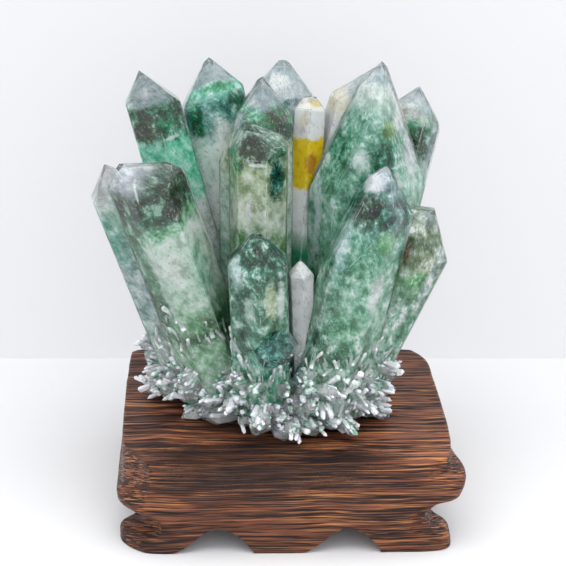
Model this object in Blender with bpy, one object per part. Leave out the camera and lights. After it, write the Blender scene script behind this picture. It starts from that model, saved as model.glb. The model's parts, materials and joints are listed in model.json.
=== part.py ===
"""Green quartz cluster resting on a carved hardwood stand.

Lengths in this file are millimetres and become metres when a mesh is made. X runs to the right,
Y away from the viewer and Z up. The stand's floor is z = 0, and at the end the whole model is
moved so that the middle of its bounding box stands over the origin.
"""
import math
import random
from dataclasses import dataclass
from itertools import combinations

import bmesh
import bpy
import numpy as np

MM = 0.001
WELD = 0.000001            # corners closer than this are one corner, metres

POINT_ANGLE = 51.8          # slope of quartz point faces against the crystal's length, degrees

STAND_TOP = 35.5            # height of the stand's flat top
REST_GAP = 0.3              # air between the stone's flat underside and the stand
ROCK_BOTTOM = STAND_TOP + REST_GAP

ROCK_CENTRE = (-3.0, 12.0)
ROCK_HEIGHT = 30.0
ROCK_SEGMENTS = 28
# Reach of the rock's rim every 30 degrees, from the right and anticlockwise seen from above.
ROCK_REACH = (35, 38, 33, 29, 33, 40, 39, 33, 27, 29, 32, 35)

DRUSE_SEED = 41
DRUSE_LONGEST = 17.0
FOOT_SEED = 17
FOOT_REACH = 52.0           # how far from the rock's centre a large crystal's foot may lie


@dataclass(frozen=True)
class Crystal:
    """One six-sided quartz crystal.

    foot and head are the two ends of the crystal's axis. girth holds the distance across each of
    the three pairs of sides, spin turns the sides about the axis, caps lifts or drops the six point
    faces, taper narrows the prism towards its head. facets are extra flat faces, each given by its
    direction round the axis, its slope above the sides and its distance from the head.
    """

    name: str
    foot: tuple
    head: tuple
    girth: tuple
    spin: float = 0.0
    caps: tuple = (0, 0, 0, 0, 0, 0)
    taper: float = 0.0
    facets: tuple = ()


# The large crystals as the front shows them, from the left of the back row to the front.
FRONT_CRYSTALS = (
    Crystal("back_left", (-25, 14, 64), (-50.5, 32, 153.5), (19, 19, 19), 8,
            (-1.6, 0, 0, 0.8, 0.4, -0.8), 0.02),
    Crystal("back_arch", (-12, 22, 78), (-30, 46, 155), (23.5, 23.5, 23.5), 10,
            (0, 0, -2.5, -2.5, -2.5, 0), 0.04),
    Crystal("back_middle", (-3, 24, 62), (-0.5, 46, 154), (21, 21, 21), 0,
            (0, -1.5, 0, 0, -0.5, -0.3), 0.0, ((90, 85, -2),)),
    Crystal("tall_middle", (-10, 12, 60), (-11, 28, 153.5), (26, 25, 26), 0,
            (1, 0, -2, -2, -2, 0), 0.0,
            ((0, 25, 7.5), (300, 25, 8), (180, 31, -2), (240, 33, 0), (180, 20, 1.8),
             (240, 20, 4), (120, 20, 4))),
    Crystal("middle_front", (-9.5, 0, 58), (-10.5, 4, 152.5), (18, 18, 18), 15,
            (0, 0, 0, 0, -5, 0), 0.0, ((340, 60, -8.9), (180, 28, -0.3), (60, 60, -8.5))),
    Crystal("golden", (4.5, 10, 72), (9, 34, 145), (11.5, 11, 11), 0,
            (0, 0, 0, 0, 0, 0), 0.0, ((90, 88, -2.5),)),
    Crystal("broad_right", (26.5, 6, 56), (30.5, 26, 161.5), (36, 27, 36), 30,
            (0, 0, -3.5, -3.5, -2, 0), 0.0,
            ((150, 20, 0.6), (210, 20, 0.6), (270, 25, 4.5), (330, 20, 2), (30, 20, 2),
             (0, -10, 27), (60, -10, 27))),
    Crystal("behind_broad", (8, 21, 64), (34.5, 38, 153), (26, 20, 26), 8,
            (0, 0, 0, 1, 1, 0)),
    Crystal("far_right", (28, 18, 60), (48, 38, 146), (20, 17, 20), 10,
            (0, 0, 0, -1, -1, 0), 0.0, ((0, 20, 5.2), (310, 20, 5), (0, 8, 9))),
    Crystal("front_right", (13, -13, 42), (33, -6, 132.5), (25, 23, 25), 18,
            (0, 0, 0, 0, -1, 0), 0.1, ((180, 13, 3.1), (240, 10, 5), (220, 13, 4.5))),
    Crystal("low_right", (20, -2, 44), (52.5, 4, 117), (24, 22, 24), 0,
            (-2.2, 0, 0, 0, 0, -2), 0.0, ((180, 77, -5), (240, 60, -4), (120, 60, -4))),
    Crystal("low_left", (-34, 6, 40), (-64.5, 8, 127.5), (15, 14, 15), 10,
            (0, 0, -1.5, -1.5, -1, 0)),
    Crystal("front_left", (-22, -3, 47), (-52, -8, 139.5), (25, 25, 21), 42,
            (0, 0, 2, 4, 2, 0), 0.0, ((330, 61, -5.6), (60, 61, -5.6))),
    Crystal("front_middle", (-8, -13, 43), (-11.5, -18, 114.5), (20, 20, 20), 2,
            (0, -1, -1, 0, 0, 0), 0.0, ((90, 80, -2),)),
    Crystal("facing", (-2, -8, 65), (-7, -32, 75), (13, 13, 13), 10,
            (0, 0, 0, 0, 0, 0), 0.0, ((90, 85, -4),)),
    Crystal("white_column", (6.5, -12, 46), (4.5, -8, 98), (6.5, 6.5, 6.5), 10, taper=-0.3),
    Crystal("thin_right", (17, -9, 52), (38, -2, 116.5), (11, 11, 11), 10),
)

# Crystals of the back and the foot, smaller than the front ones and hidden by them in a front view.
BACK_CRYSTALS = (
    Crystal("rear_one", (-22, 28, 48), (-38, 55, 112), (15, 14, 16), 12, taper=0.05),
    Crystal("rear_two", (-4, 30, 48), (-10, 57, 124), (17, 16, 17), 4, (0, -1, 0, 0, 0, 1), 0.03),
    Crystal("rear_three", (14, 30, 48), (21, 56, 116), (15, 16, 15), 20, (-1, 0, 0, 0, 1, 0), 0.04),
    Crystal("rear_four", (26, 26, 48), (43, 52, 108), (14, 14, 13), 33, taper=0.05),
    Crystal("rear_five", (-32, 20, 46), (-58, 40, 102), (12, 13, 12), 25, taper=0.05),
    Crystal("rear_six", (1, 34, 44), (6, 58, 86), (11, 12, 11), 15, taper=0.06),
    Crystal("rear_seven", (-14, 34, 44), (-23, 58, 80), (9, 10, 9), 40, taper=0.05),
    Crystal("rear_eight", (18, 34, 44), (31, 56, 80), (10, 10, 9), 8, taper=0.05),
)

FOOT_CRYSTALS = (
    Crystal("pale_block", (-20, 2, 42), (-27, -15, 66), (11, 10, 11), 20),
    Crystal("teal_foot", (7, -6, 46), (6, -22, 61), (8, 8, 7), 30),
    Crystal("clear_block", (13, -6, 43), (22, -24, 49), (8, 9, 8), 12),
)


@dataclass(frozen=True)
class DruseRing:
    """One ring of small crystals round the rock.

    rise is the ring's height on the rock as an angle, lift how far its crystals turn upwards,
    count their number, girth and proud the smallest and largest width and height.
    """

    rise: float
    lift: float
    count: int
    girth: tuple
    proud: tuple


DRUSE_RINGS = (
    DruseRing(6, -0.05, 40, (4.5, 7.5), (8, 14)),
    DruseRing(16, 0.12, 34, (4.5, 7.5), (8, 13)),
    DruseRing(28, 0.35, 28, (4.5, 7.0), (7, 12)),
    DruseRing(42, 0.60, 18, (4.0, 6.5), (6, 11)),
    DruseRing(56, 0.85, 8, (3.5, 6.0), (5, 9)),
)



@dataclass(frozen=True)
class FootRing:
    """Small crystals that climb the feet of the large ones, at one height.

    arc is the part of the circle they cover, in degrees, and the other fields are those of a
    DruseRing.
    """

    height: float
    lift: float
    count: int
    girth: tuple
    proud: tuple
    arc: tuple


FOOT_RINGS = (
    FootRing(42, -0.3, 18, (4.5, 6.5), (7, 11), (150, 385)),
    FootRing(48.5, 0.0, 17, (4.2, 6.2), (6, 10), (155, 375)),
    FootRing(55.5, 0.35, 13, (4.0, 6.0), (5, 8), (160, 350)),
)

# Outline of the stand's top and of its feet, anticlockwise from the front left corner. The carved
# lip and the feet have squarer corners than the top.
TOP_OUTLINE = (
    (-45, -43), (-30, -43.2), (-15, -43.2), (0, -43.2), (15, -43.1), (30, -42.9), (46, -42.5),
    (50, -41), (53.5, -38.7), (57, -35.2), (58.4, -28), (59.2, -20), (59.4, -12), (59.1, -2),
    (58.7, 10), (58.1, 22), (57.8, 31), (56.2, 36.5), (53.2, 41), (50, 42.6), (34, 42.9),
    (17, 43), (0, 43), (-17, 43), (-34, 42.9), (-52, 42.8), (-56.6, 41.6), (-57.9, 38.5),
    (-58.3, 22), (-58.4, 8), (-58.3, -8), (-58, -20), (-57.4, -25), (-55.6, -29),
    (-52.8, -33.2), (-48.5, -39.8),
)
FOOT_OUTLINE = (
    (-46, -43.1), (-30, -43.2), (-15, -43.2), (0, -43.2), (15, -43.1), (30, -42.9), (46, -42.7),
    (52, -42.4), (56.4, -41.4), (59, -38.6), (59.4, -31), (59.4, -20), (59.4, -12), (59.1, -2),
    (58.9, 10), (58.7, 22), (58.5, 32), (58, 38), (55.5, 41.4), (51, 42.8), (34, 42.9),
    (17, 43), (0, 43), (-17, 43), (-34, 42.9), (-52, 42.9), (-57, 41.8), (-58.6, 38.5),
    (-58.8, 22), (-58.8, 8), (-58.8, -8), (-58.8, -20), (-58.8, -27), (-58.6, -33.5),
    (-56.2, -37.8), (-51.5, -41.5),
)


@dataclass(frozen=True)
class StandSection:
    """One level of the stand.

    z is its height, square how far it turns from the top's outline to that of the feet, and left,
    right and front how far its ends and its long faces stand out from that outline.
    """

    z: float
    square: float
    left: float
    right: float
    front: float


STAND_SECTIONS = (
    StandSection(0.0, 1.0, -0.4, -0.4, -0.4),
    StandSection(0.5, 1.0, 0.0, 0.1, 0.0),
    StandSection(3.2, 1.0, 0.0, -0.2, 0.0),
    StandSection(4.6, 1.0, -1.0, -1.6, -0.2),
    StandSection(6.4, 0.9, -3.4, -3.8, -0.8),
    StandSection(9.0, 0.8, -5.6, -6.0, -1.6),
    StandSection(11.6, 0.7, -6.3, -7.2, -2.0),
    StandSection(14.0, 0.7, -5.2, -7.0, -1.9),
    StandSection(15.2, 0.8, -1.8, -6.6, -1.3),
    StandSection(16.8, 0.9, 1.0, -6.0, -0.4),
    StandSection(19.0, 0.9, 1.2, -4.6, 0.3),
    StandSection(20.6, 0.8, 0.8, -1.0, 0.8),
    StandSection(22.2, 0.6, 0.2, 3.6, 1.0),
    StandSection(24.6, 0.5, -0.2, 5.2, 0.8),
    StandSection(27.2, 0.4, -0.2, 5.1, 0.5),
    StandSection(29.6, 0.2, -0.1, 2.6, 0.2),
    StandSection(32.4, 0.1, 0.0, 0.8, 0.0),
    StandSection(34.7, 0.0, 0.0, 0.1, 0.0),
    StandSection(35.5, 0.0, -0.5, -0.5, -0.5),
)

# Arches under the stand: start, end, crown position and crown height.
FRONT_ARCHES = ((-41.5, -11.0, -23.5, 9.6), (4.6, 34.0, 22.0, 9.6))
SIDE_ARCH = (-33.0, 33.5, 0.5, 10.0)


def clear_scene():
    """Remove every object the file opens with."""
    for item in list(bpy.data.objects):
        bpy.data.objects.remove(item, do_unlink=True)


def axis_frame(axis):
    """Return the directions right of, away from and along a crystal axis."""
    along = axis / np.linalg.norm(axis)
    right = np.cross(np.array([0.0, 1.0, 0.0]), along)
    right /= np.linalg.norm(right)
    return right, np.cross(along, right), along


def crystal_planes(crystal):
    """Return the flat faces of a crystal as outward normals and distances."""
    foot = np.array(crystal.foot, float)
    head = np.array(crystal.head, float)
    right, away, along = axis_frame(head - foot)
    length = np.linalg.norm(head - foot)
    point = math.radians(POINT_ANGLE)
    planes = []
    for i in range(6):
        turn = math.radians(crystal.spin + 60 * i)
        side = math.cos(turn) * right + math.sin(turn) * away
        reach = crystal.girth[i % 3] / 2
        normal = side + reach * crystal.taper / length * along
        normal /= np.linalg.norm(normal)
        planes.append((normal, normal @ (foot + side * reach)))
        cap = math.cos(point) * along + math.sin(point) * side
        planes.append((cap, cap @ head + crystal.caps[i]))
    for azimuth, slope, distance in crystal.facets:
        turn, tilt = math.radians(azimuth), math.radians(slope)
        side = math.cos(turn) * right + math.sin(turn) * away
        normal = math.cos(tilt) * side + math.sin(tilt) * along
        planes.append((normal, normal @ head + distance))
    planes.append((-along, -along @ foot))
    return planes


def corners_from_planes(planes, weld=0.01):
    """Return the corners of the closed solid that the planes bound."""
    normals = np.array([plane[0] for plane in planes])
    offsets = np.array([plane[1] for plane in planes])
    triples = np.array(list(combinations(range(len(planes)), 3)))
    matrices = normals[triples]
    solvable = np.abs(np.linalg.det(matrices)) > 1e-6
    meets = np.linalg.solve(matrices[solvable], offsets[triples[solvable]][..., None])[..., 0]
    meets = meets[np.all(meets @ normals.T <= offsets + 1e-5, axis=1)]
    corners = []
    for meet in meets:
        if all(np.linalg.norm(meet - corner) > weld for corner in corners):
            corners.append(meet)
    return corners


def linked_object(name, mesh):
    """Make an object of a mesh and link it to the scene."""
    built = bpy.data.objects.new(name, mesh)
    bpy.context.scene.collection.objects.link(built)
    return built


def mesh_object(name, corners, faces):
    """Make an object of triangles from corners in millimetres and link it to the scene."""
    mesh = bpy.data.meshes.new(name)
    mesh.from_pydata([tuple(float(c) * MM for c in corner) for corner in corners], [], faces)
    edit = bmesh.new()
    edit.from_mesh(mesh)
    bmesh.ops.recalc_face_normals(edit, faces=edit.faces)
    bmesh.ops.triangulate(edit, faces=edit.faces)
    edit.to_mesh(mesh)
    edit.free()
    return linked_object(name, mesh)


def crystal_object(crystal, floor):
    """Make one crystal, cut flat where it would reach below the floor height."""
    planes = crystal_planes(crystal) + [(np.array([0.0, 0.0, -1.0]), -floor)]
    mesh = bpy.data.meshes.new(crystal.name)
    edit = bmesh.new()
    for corner in corners_from_planes(planes):
        edit.verts.new([float(c) * MM for c in corner])
    hull = bmesh.ops.convex_hull(edit, input=edit.verts)
    spare = {item for item in hull["geom_interior"] + hull["geom_unused"]
             if isinstance(item, bmesh.types.BMVert)}
    bmesh.ops.delete(edit, geom=list(spare), context="VERTS")
    bmesh.ops.recalc_face_normals(edit, faces=edit.faces)
    edit.to_mesh(mesh)
    edit.free()
    return linked_object(crystal.name, mesh)


def rock_point(turn, rise, swell=1.0):
    """Return a point of the rock's domed surface for a direction and a height angle."""
    step = math.degrees(turn) % 360 / 30
    low = int(step) % 12
    part = step - int(step)
    reach = ROCK_REACH[low] * (1 - part) + ROCK_REACH[(low + 1) % 12] * part
    return np.array([
        ROCK_CENTRE[0] + swell * reach * math.cos(rise) * math.cos(turn),
        ROCK_CENTRE[1] + swell * reach * math.cos(rise) * math.sin(turn),
        ROCK_BOTTOM + swell * ROCK_HEIGHT * math.sin(rise),
    ])


def rock_object():
    """Make the rock the crystals grow from: a low broken dome with a flat underside."""
    rng = random.Random(7)
    rises = (0, 9, 24, 40, 58)
    corners, faces = [], []
    for level, rise in enumerate(rises):
        for i in range(ROCK_SEGMENTS):
            turn = 2 * math.pi * (i + 0.5 * (level % 2)) / ROCK_SEGMENTS
            swell = 1.0 + rng.uniform(-0.035, 0.035)
            point = rock_point(turn, math.radians(rise), swell)
            if level == 0:
                point[2] = ROCK_BOTTOM
            corners.append(point)
    for level in range(len(rises) - 1):
        for i in range(ROCK_SEGMENTS):
            low, high = level * ROCK_SEGMENTS, (level + 1) * ROCK_SEGMENTS
            j = (i + 1) % ROCK_SEGMENTS
            if level % 2:
                faces += [(low + i, low + j, high + j), (low + i, high + j, high + i)]
            else:
                faces += [(low + i, low + j, high + i), (low + j, high + j, high + i)]
    faces.append(tuple(reversed(range(ROCK_SEGMENTS))))
    top = (len(rises) - 1) * ROCK_SEGMENTS
    faces.append(tuple(range(top, top + ROCK_SEGMENTS)))
    return mesh_object("rock", corners, faces)


def inside(point, planes, margin):
    """Tell whether a point lies inside a crystal or within the margin outside it."""
    return all(normal @ point <= offset + margin for normal, offset in planes)


def druse_crystals(blockers):
    """Return the small crystals round the rock.

    A crystal whose tip would stay inside a large one is made longer, up to a limit, and left out
    if that isn't enough.
    """
    rng = random.Random(DRUSE_SEED)
    found = []
    for ring in DRUSE_RINGS:
        for i in range(ring.count):
            turn = 2 * math.pi * (i + rng.uniform(-0.35, 0.35)) / ring.count
            rise = math.radians(ring.rise + rng.uniform(-5, 5))
            surface = rock_point(turn, rise)
            out = surface - np.array([ROCK_CENTRE[0], ROCK_CENTRE[1], ROCK_BOTTOM])
            out /= np.linalg.norm(out)
            out += np.array([rng.uniform(-0.45, 0.45), rng.uniform(-0.45, 0.45),
                             ring.lift + rng.uniform(-0.25, 0.25)])
            out /= np.linalg.norm(out)
            proud = rng.uniform(*ring.proud)
            girth = rng.uniform(*ring.girth)
            spin = rng.uniform(0, 60)
            widths = tuple(girth * rng.uniform(0.85, 1.1) for _ in range(3))
            caps = tuple(girth * rng.uniform(-0.12, 0.1) for _ in range(6))
            while proud < DRUSE_LONGEST and any(
                    inside(surface + out * proud, planes, 1.0) for planes in blockers):
                proud += 2.0
            if proud >= DRUSE_LONGEST:
                continue
            head = surface + out * proud
            foot = surface - out * (girth * 0.9 + 3)
            found.append(Crystal(f"druse_{len(found)}", tuple(foot), tuple(head), widths,
                                 spin, caps, 0.08))
    return found


def foot_crystals(blockers):
    """Return the small crystals on the feet of the large ones."""
    rng = random.Random(FOOT_SEED)
    found = []
    for ring in FOOT_RINGS:
        for i in range(ring.count):
            part = (i + rng.uniform(-0.3, 0.3)) / ring.count
            turn = math.radians(ring.arc[0] + (ring.arc[1] - ring.arc[0]) * part)
            height = ring.height + rng.uniform(-2.0, 2.0)
            level = np.array([math.cos(turn), math.sin(turn), 0.0])
            out = level + np.array([rng.uniform(-0.4, 0.4), rng.uniform(-0.4, 0.4),
                                    ring.lift + rng.uniform(-0.3, 0.3)])
            out /= np.linalg.norm(out)
            proud = rng.uniform(*ring.proud)
            girth = rng.uniform(*ring.girth)
            spin = rng.uniform(0, 60)
            widths = tuple(girth * rng.uniform(0.85, 1.1) for _ in range(3))
            caps = tuple(girth * rng.uniform(-0.12, 0.1) for _ in range(6))
            centre = np.array([ROCK_CENTRE[0], ROCK_CENTRE[1], height])
            reach = FOOT_REACH
            while reach > 0 and not any(
                    inside(centre + level * reach, planes, 0.0) for planes in blockers):
                reach -= 0.5
            if reach <= 0:
                continue
            surface = centre + level * reach
            found.append(Crystal(f"foot_{len(found)}", tuple(surface - out * 4.0),
                                 tuple(surface + out * proud), widths, spin, caps, 0.08))
    return found


def join_solids(base, others, name):
    """Fuse closed solids into the base object and remove the loose ones."""
    group = bpy.data.collections.new(name)
    bpy.context.scene.collection.children.link(group)
    for other in others:
        bpy.context.scene.collection.objects.unlink(other)
        group.objects.link(other)
    fuse = base.modifiers.new(name, "BOOLEAN")
    fuse.operation = "UNION"
    fuse.solver = "EXACT"
    fuse.operand_type = "COLLECTION"
    fuse.collection = group
    apply_modifiers(base)
    for other in others:
        bpy.data.objects.remove(other, do_unlink=True)
    bpy.data.collections.remove(group)


def apply_modifiers(item):
    """Bake an object's modifiers into its mesh."""
    graph = bpy.context.evaluated_depsgraph_get()
    baked = bpy.data.meshes.new_from_object(item.evaluated_get(graph))
    item.modifiers.clear()
    old = item.data
    item.data = baked
    bpy.data.meshes.remove(old)


def keep_outer_shell(item):
    """Drop closed pockets inside the solid, so that one outer shell is left."""
    mesh = bmesh.new()
    mesh.from_mesh(item.data)
    bmesh.ops.remove_doubles(mesh, verts=mesh.verts, dist=WELD)
    seen, islands = set(), []
    for start in mesh.faces:
        if start in seen:
            continue
        stack, island = [start], []
        seen.add(start)
        while stack:
            face = stack.pop()
            island.append(face)
            for edge in face.edges:
                for near in edge.link_faces:
                    if near not in seen:
                        seen.add(near)
                        stack.append(near)
        islands.append(island)
    islands.sort(key=len, reverse=True)
    loose = [face for island in islands[1:] for face in island]
    bmesh.ops.delete(mesh, geom=loose, context="FACES")
    bmesh.ops.dissolve_limit(mesh, angle_limit=math.radians(0.2), verts=mesh.verts,
                             edges=mesh.edges)
    bmesh.ops.triangulate(mesh, faces=mesh.faces)
    mesh.to_mesh(item.data)
    mesh.free()


def ease(low, high, value):
    """Return 0 below low, 1 above high and a smooth step between."""
    t = min(1.0, max(0.0, (value - low) / (high - low)))
    return t * t * (3 - 2 * t)


def stand_corner(index, section):
    """Return one corner of the stand's outline as the given level has it.

    The right end's lip is carved out only at its front corner, so it fades towards the back.
    """
    top, foot = TOP_OUTLINE[index], FOOT_OUTLINE[index]
    x = top[0] + section.square * (foot[0] - top[0])
    y = top[1] + section.square * (foot[1] - top[1])
    end = ease(40, 56, abs(x))
    if x > 0:
        fade = 1.0 - 0.9 * ease(-32, -12, y) if section.right > 0 else 1.0
        x += section.right * end * fade
    else:
        x -= section.left * end
    y += math.copysign(section.front * ease(28, 41, abs(y)), y)
    return (x, y, section.z)


def stand_object():
    """Make the stand: a stack of outlines with arches cut through underneath."""
    count = len(TOP_OUTLINE)
    corners = [stand_corner(index, section)
               for section in STAND_SECTIONS for index in range(count)]
    faces = []
    for level in range(len(STAND_SECTIONS) - 1):
        for i in range(count):
            j = (i + 1) % count
            low, high = level * count, (level + 1) * count
            faces.append((low + i, low + j, high + j, high + i))
    faces.append(tuple(reversed(range(count))))
    top = (len(STAND_SECTIONS) - 1) * count
    faces.append(tuple(range(top, top + count)))
    stand = mesh_object("wooden_stand", corners, faces)
    for index, arch in enumerate(FRONT_ARCHES):
        cut_arch(stand, arch_outline(arch), "y", f"front_arch_{index}")
    cut_arch(stand, side_arch_outline(SIDE_ARCH), "x", "side_arch")
    return stand


def arch_outline(arch, steps=14):
    """Return the cross-section of an arch, from its start over the crown to its end.

    The first flank is a slow wave and the second one rounder, as carved.
    """
    start, end, crown, height = arch
    points = [(start - 0.6, -3.0), (start, 0.0)]
    for i in range(1, steps):
        t = i / steps
        points.append((start + (crown - start) * t, height * (1 - math.cos(math.pi * t)) / 2))
    for i in range(steps):
        t = i / steps
        points.append((crown + (end - crown) * t, height * math.cos(math.pi * t / 2) ** 0.8))
    points += [(end, 0.0), (end + 0.3, -3.0)]
    return points


def side_arch_outline(arch, steps=12):
    """Return the cross-section of the long flat arch between the feet of the two ends."""
    start, end, crown, height = arch
    points = [(start - 0.3, -3.0)]
    for i in range(-steps, steps + 1):
        t = i / steps
        reach = end - crown if t > 0 else crown - start
        points.append((crown + reach * t, height * (1 - abs(t) ** 5)))
    points.append((end + 0.3, -3.0))
    return points


def cut_arch(stand, outline, direction, name):
    """Cut one arch through the stand along the given direction."""
    count, reach = len(outline), 80.0
    corners = []
    for side in (-reach, reach):
        for along, height in outline:
            corners.append((along, side, height) if direction == "y" else (side, along, height))
    front = list(range(count))
    back = list(range(count, 2 * count))
    faces = [tuple(front), tuple(reversed(back))]
    faces += [(i, count + i, count + (i + 1) % count, (i + 1) % count) for i in range(count)]
    cutter = mesh_object(name, corners, faces)
    cut = stand.modifiers.new(name, "BOOLEAN")
    cut.operation = "DIFFERENCE"
    cut.solver = "EXACT"
    cut.object = cutter
    apply_modifiers(stand)
    bpy.data.objects.remove(cutter, do_unlink=True)


def plain_material(name, colour, roughness, transmission=0.0):
    """Make a plain Principled material."""
    material = bpy.data.materials.new(name)
    material.use_nodes = True
    shader = material.node_tree.nodes["Principled BSDF"]
    shader.inputs["Base Color"].default_value = (*colour, 1.0)
    shader.inputs["Roughness"].default_value = roughness
    shader.inputs["Transmission Weight"].default_value = transmission
    material.diffuse_color = (*colour, 1.0)
    return material


def centre_over_origin(items):
    """Move all meshes so that the bottom middle of their common box is the origin."""
    points = np.array([corner.co[:] for item in items for corner in item.data.vertices])
    low, high = points.min(axis=0), points.max(axis=0)
    shift = np.array([-(low[0] + high[0]) / 2, -(low[1] + high[1]) / 2, -low[2]])
    for item in items:
        for corner in item.data.vertices:
            corner.co = [float(c + s) for c, s in zip(corner.co, shift)]
        item.data.update()


def build():
    """Build the stone and the stand."""
    clear_scene()
    large = FRONT_CRYSTALS + BACK_CRYSTALS + FOOT_CRYSTALS
    blockers = [crystal_planes(crystal) for crystal in large]
    rng = random.Random(3)
    stone = rock_object()
    stone.name = "quartz_cluster"
    join_solids(stone, [crystal_object(crystal, ROCK_BOTTOM + 1) for crystal in large], "large")
    small = druse_crystals(blockers) + foot_crystals(blockers)
    solids = [crystal_object(crystal, ROCK_BOTTOM + rng.uniform(0.3, 1.2)) for crystal in small]
    join_solids(stone, solids, "small")
    keep_outer_shell(stone)
    stone.data.name = "quartz_cluster"
    stone.data.materials.clear()
    stone.data.materials.append(plain_material("green_quartz", (0.45, 0.62, 0.52), 0.05, 0.6))
    stand = stand_object()
    keep_outer_shell(stand)
    stand.data.name = "wooden_stand"
    stand.data.materials.clear()
    stand.data.materials.append(plain_material("dark_wood", (0.13, 0.045, 0.025), 0.35))
    centre_over_origin([stone, stand])


build()
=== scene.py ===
"""Looks of the green quartz cluster on its carved wooden stand.

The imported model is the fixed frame. The fused stone keeps its solid, which becomes the clear outer
quartz. Inside it stand the milky and mossy cores of the single crystals, and a finely carved stand
takes the place of the plain one. The tables below are in millimetres, measured from the middle of
the stand's floor, and Place turns them into the frame's metres.
"""
from __future__ import annotations

import json
import logging
import math
import random
from dataclasses import dataclass
from enum import Enum
from itertools import combinations

import bmesh
import bpy
import numpy as np
from mathutils import Matrix, Vector, noise

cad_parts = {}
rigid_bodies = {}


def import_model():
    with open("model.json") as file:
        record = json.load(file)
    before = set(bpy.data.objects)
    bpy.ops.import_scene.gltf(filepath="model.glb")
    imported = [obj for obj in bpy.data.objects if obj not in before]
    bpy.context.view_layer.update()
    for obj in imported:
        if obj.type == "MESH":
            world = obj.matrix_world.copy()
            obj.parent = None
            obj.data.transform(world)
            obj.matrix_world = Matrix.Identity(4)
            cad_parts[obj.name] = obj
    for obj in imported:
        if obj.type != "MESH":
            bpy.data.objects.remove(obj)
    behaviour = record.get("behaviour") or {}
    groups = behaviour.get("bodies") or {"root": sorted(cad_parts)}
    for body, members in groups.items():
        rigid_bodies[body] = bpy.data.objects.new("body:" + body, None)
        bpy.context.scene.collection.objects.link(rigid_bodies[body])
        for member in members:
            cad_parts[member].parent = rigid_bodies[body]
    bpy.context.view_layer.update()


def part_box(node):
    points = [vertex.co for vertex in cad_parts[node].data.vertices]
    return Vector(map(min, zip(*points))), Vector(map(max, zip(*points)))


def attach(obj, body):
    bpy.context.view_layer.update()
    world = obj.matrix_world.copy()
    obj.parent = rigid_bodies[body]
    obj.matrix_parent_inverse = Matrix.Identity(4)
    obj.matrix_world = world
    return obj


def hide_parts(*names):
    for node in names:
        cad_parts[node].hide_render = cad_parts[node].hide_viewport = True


LOG = logging.getLogger("quartz")

MM = 0.001
BODY = "root"
STONE_SLOT = "green_quartz"
POINT_ANGLE = 51.8
QUARTZ_IOR = 1.544
SKIN_PASS = 0.38
SKIN_BACK = 0.58
SKIN_HAZE = 0.012
SHEET_TILT = -0.46

Colour = tuple[float, float, float]
Point = tuple[float, float, float]


def linear(colour: Colour, alpha: float = 1.0) -> tuple[float, float, float, float]:
    """Turn a colour of 0 to 255 as seen on a screen into a shader's linear colour.

    Args:
        colour: Red, green and blue.
        alpha: Cover.

    Returns:
        The four values of a colour socket.
    """
    parts = [part / 255 for part in colour]
    bent = [p / 12.92 if p <= 0.04045 else ((p + 0.055) / 1.055) ** 2.4 for p in parts]
    return (bent[0], bent[1], bent[2], alpha)


def beneath_quartz(colour: Colour, alpha: float = 1.0) -> tuple[float, float, float, float]:
    """Turn a colour as it shows through quartz into the paler one that the surface has itself.

    The skin of the quartz throws back most of the light that comes from inside, which meets the
    surface again, so that a colour looks deeper from outside, and its own sheen adds some white.

    Args:
        colour: Red, green and blue as they show.
        alpha: Cover.

    Returns:
        The four values of a colour socket.
    """
    shown = [max(0.008, (part - SKIN_HAZE) / (1 - SKIN_HAZE)) for part in linear(colour)[:3]]
    red, green, blue = (min(0.97, part / (SKIN_PASS + SKIN_BACK * part)) for part in shown)
    return (red, green, blue, alpha)


@dataclass(frozen=True)
class Place:
    """Where the measured millimetres lie in the frame."""

    right: float
    away: float

    @classmethod
    def of_stone(cls) -> "Place":
        """Find the place from the leftmost and the rearmost corner of the large crystals."""
        low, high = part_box("quartz_cluster")
        corners = [c for core in CORES for c in corners_of(core.crystal.planes(0.0, 0.0))]
        return cls(low.x - min(c[0] for c in corners) * MM,
                   high.y - max(c[1] for c in corners) * MM)

    def metres(self, point: Point) -> Vector:
        """Return a measured point in the frame."""
        return Vector((point[0] * MM + self.right, point[1] * MM + self.away, point[2] * MM))


class Shading:
    """A material and short calls that place and wire its nodes."""

    def __init__(self, name: str) -> None:
        """Start an empty Principled material of that name."""
        self.material = bpy.data.materials.new(name)
        self.material.use_nodes = True
        self.tree = self.material.node_tree
        self.surface = self.tree.nodes["Principled BSDF"]

    def set(self, **values: float | tuple) -> None:
        """Set plain values on the surface shader, with spaces in names written as underscores."""
        for name, value in values.items():
            self.surface.inputs[name.replace("_", " ")].default_value = value

    def add(self, kind: str, inputs: dict | None = None, **settings: object) -> bpy.types.Node:
        """Add a node.

        Args:
            kind: The node's type.
            inputs: Input names or numbers with a plain value or an output to wire in.
            settings: Settings of the node itself.

        Returns:
            The new node.
        """
        return add_node(self.tree, kind, inputs, **settings)

    def feed(self, socket: str, source: bpy.types.NodeSocket) -> None:
        """Wire an output into an input of the surface shader."""
        self.tree.links.new(source, self.surface.inputs[socket])


def add_node(tree: bpy.types.NodeTree, kind: str, inputs: dict | None = None,
             **settings: object) -> bpy.types.Node:
    """Add a node to a tree, give it its settings, and fill or wire its inputs.

    Args:
        tree: The node tree.
        kind: The node's type.
        inputs: Input names or numbers with a plain value or an output to wire in.
        settings: Settings of the node itself.

    Returns:
        The new node.
    """
    node = tree.nodes.new(kind)
    for name, value in settings.items():
        setattr(node, name, value)
    for name, value in (inputs or {}).items():
        if isinstance(value, bpy.types.NodeSocket):
            tree.links.new(value, node.inputs[name])
        else:
            node.inputs[name].default_value = value
    return node


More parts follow.
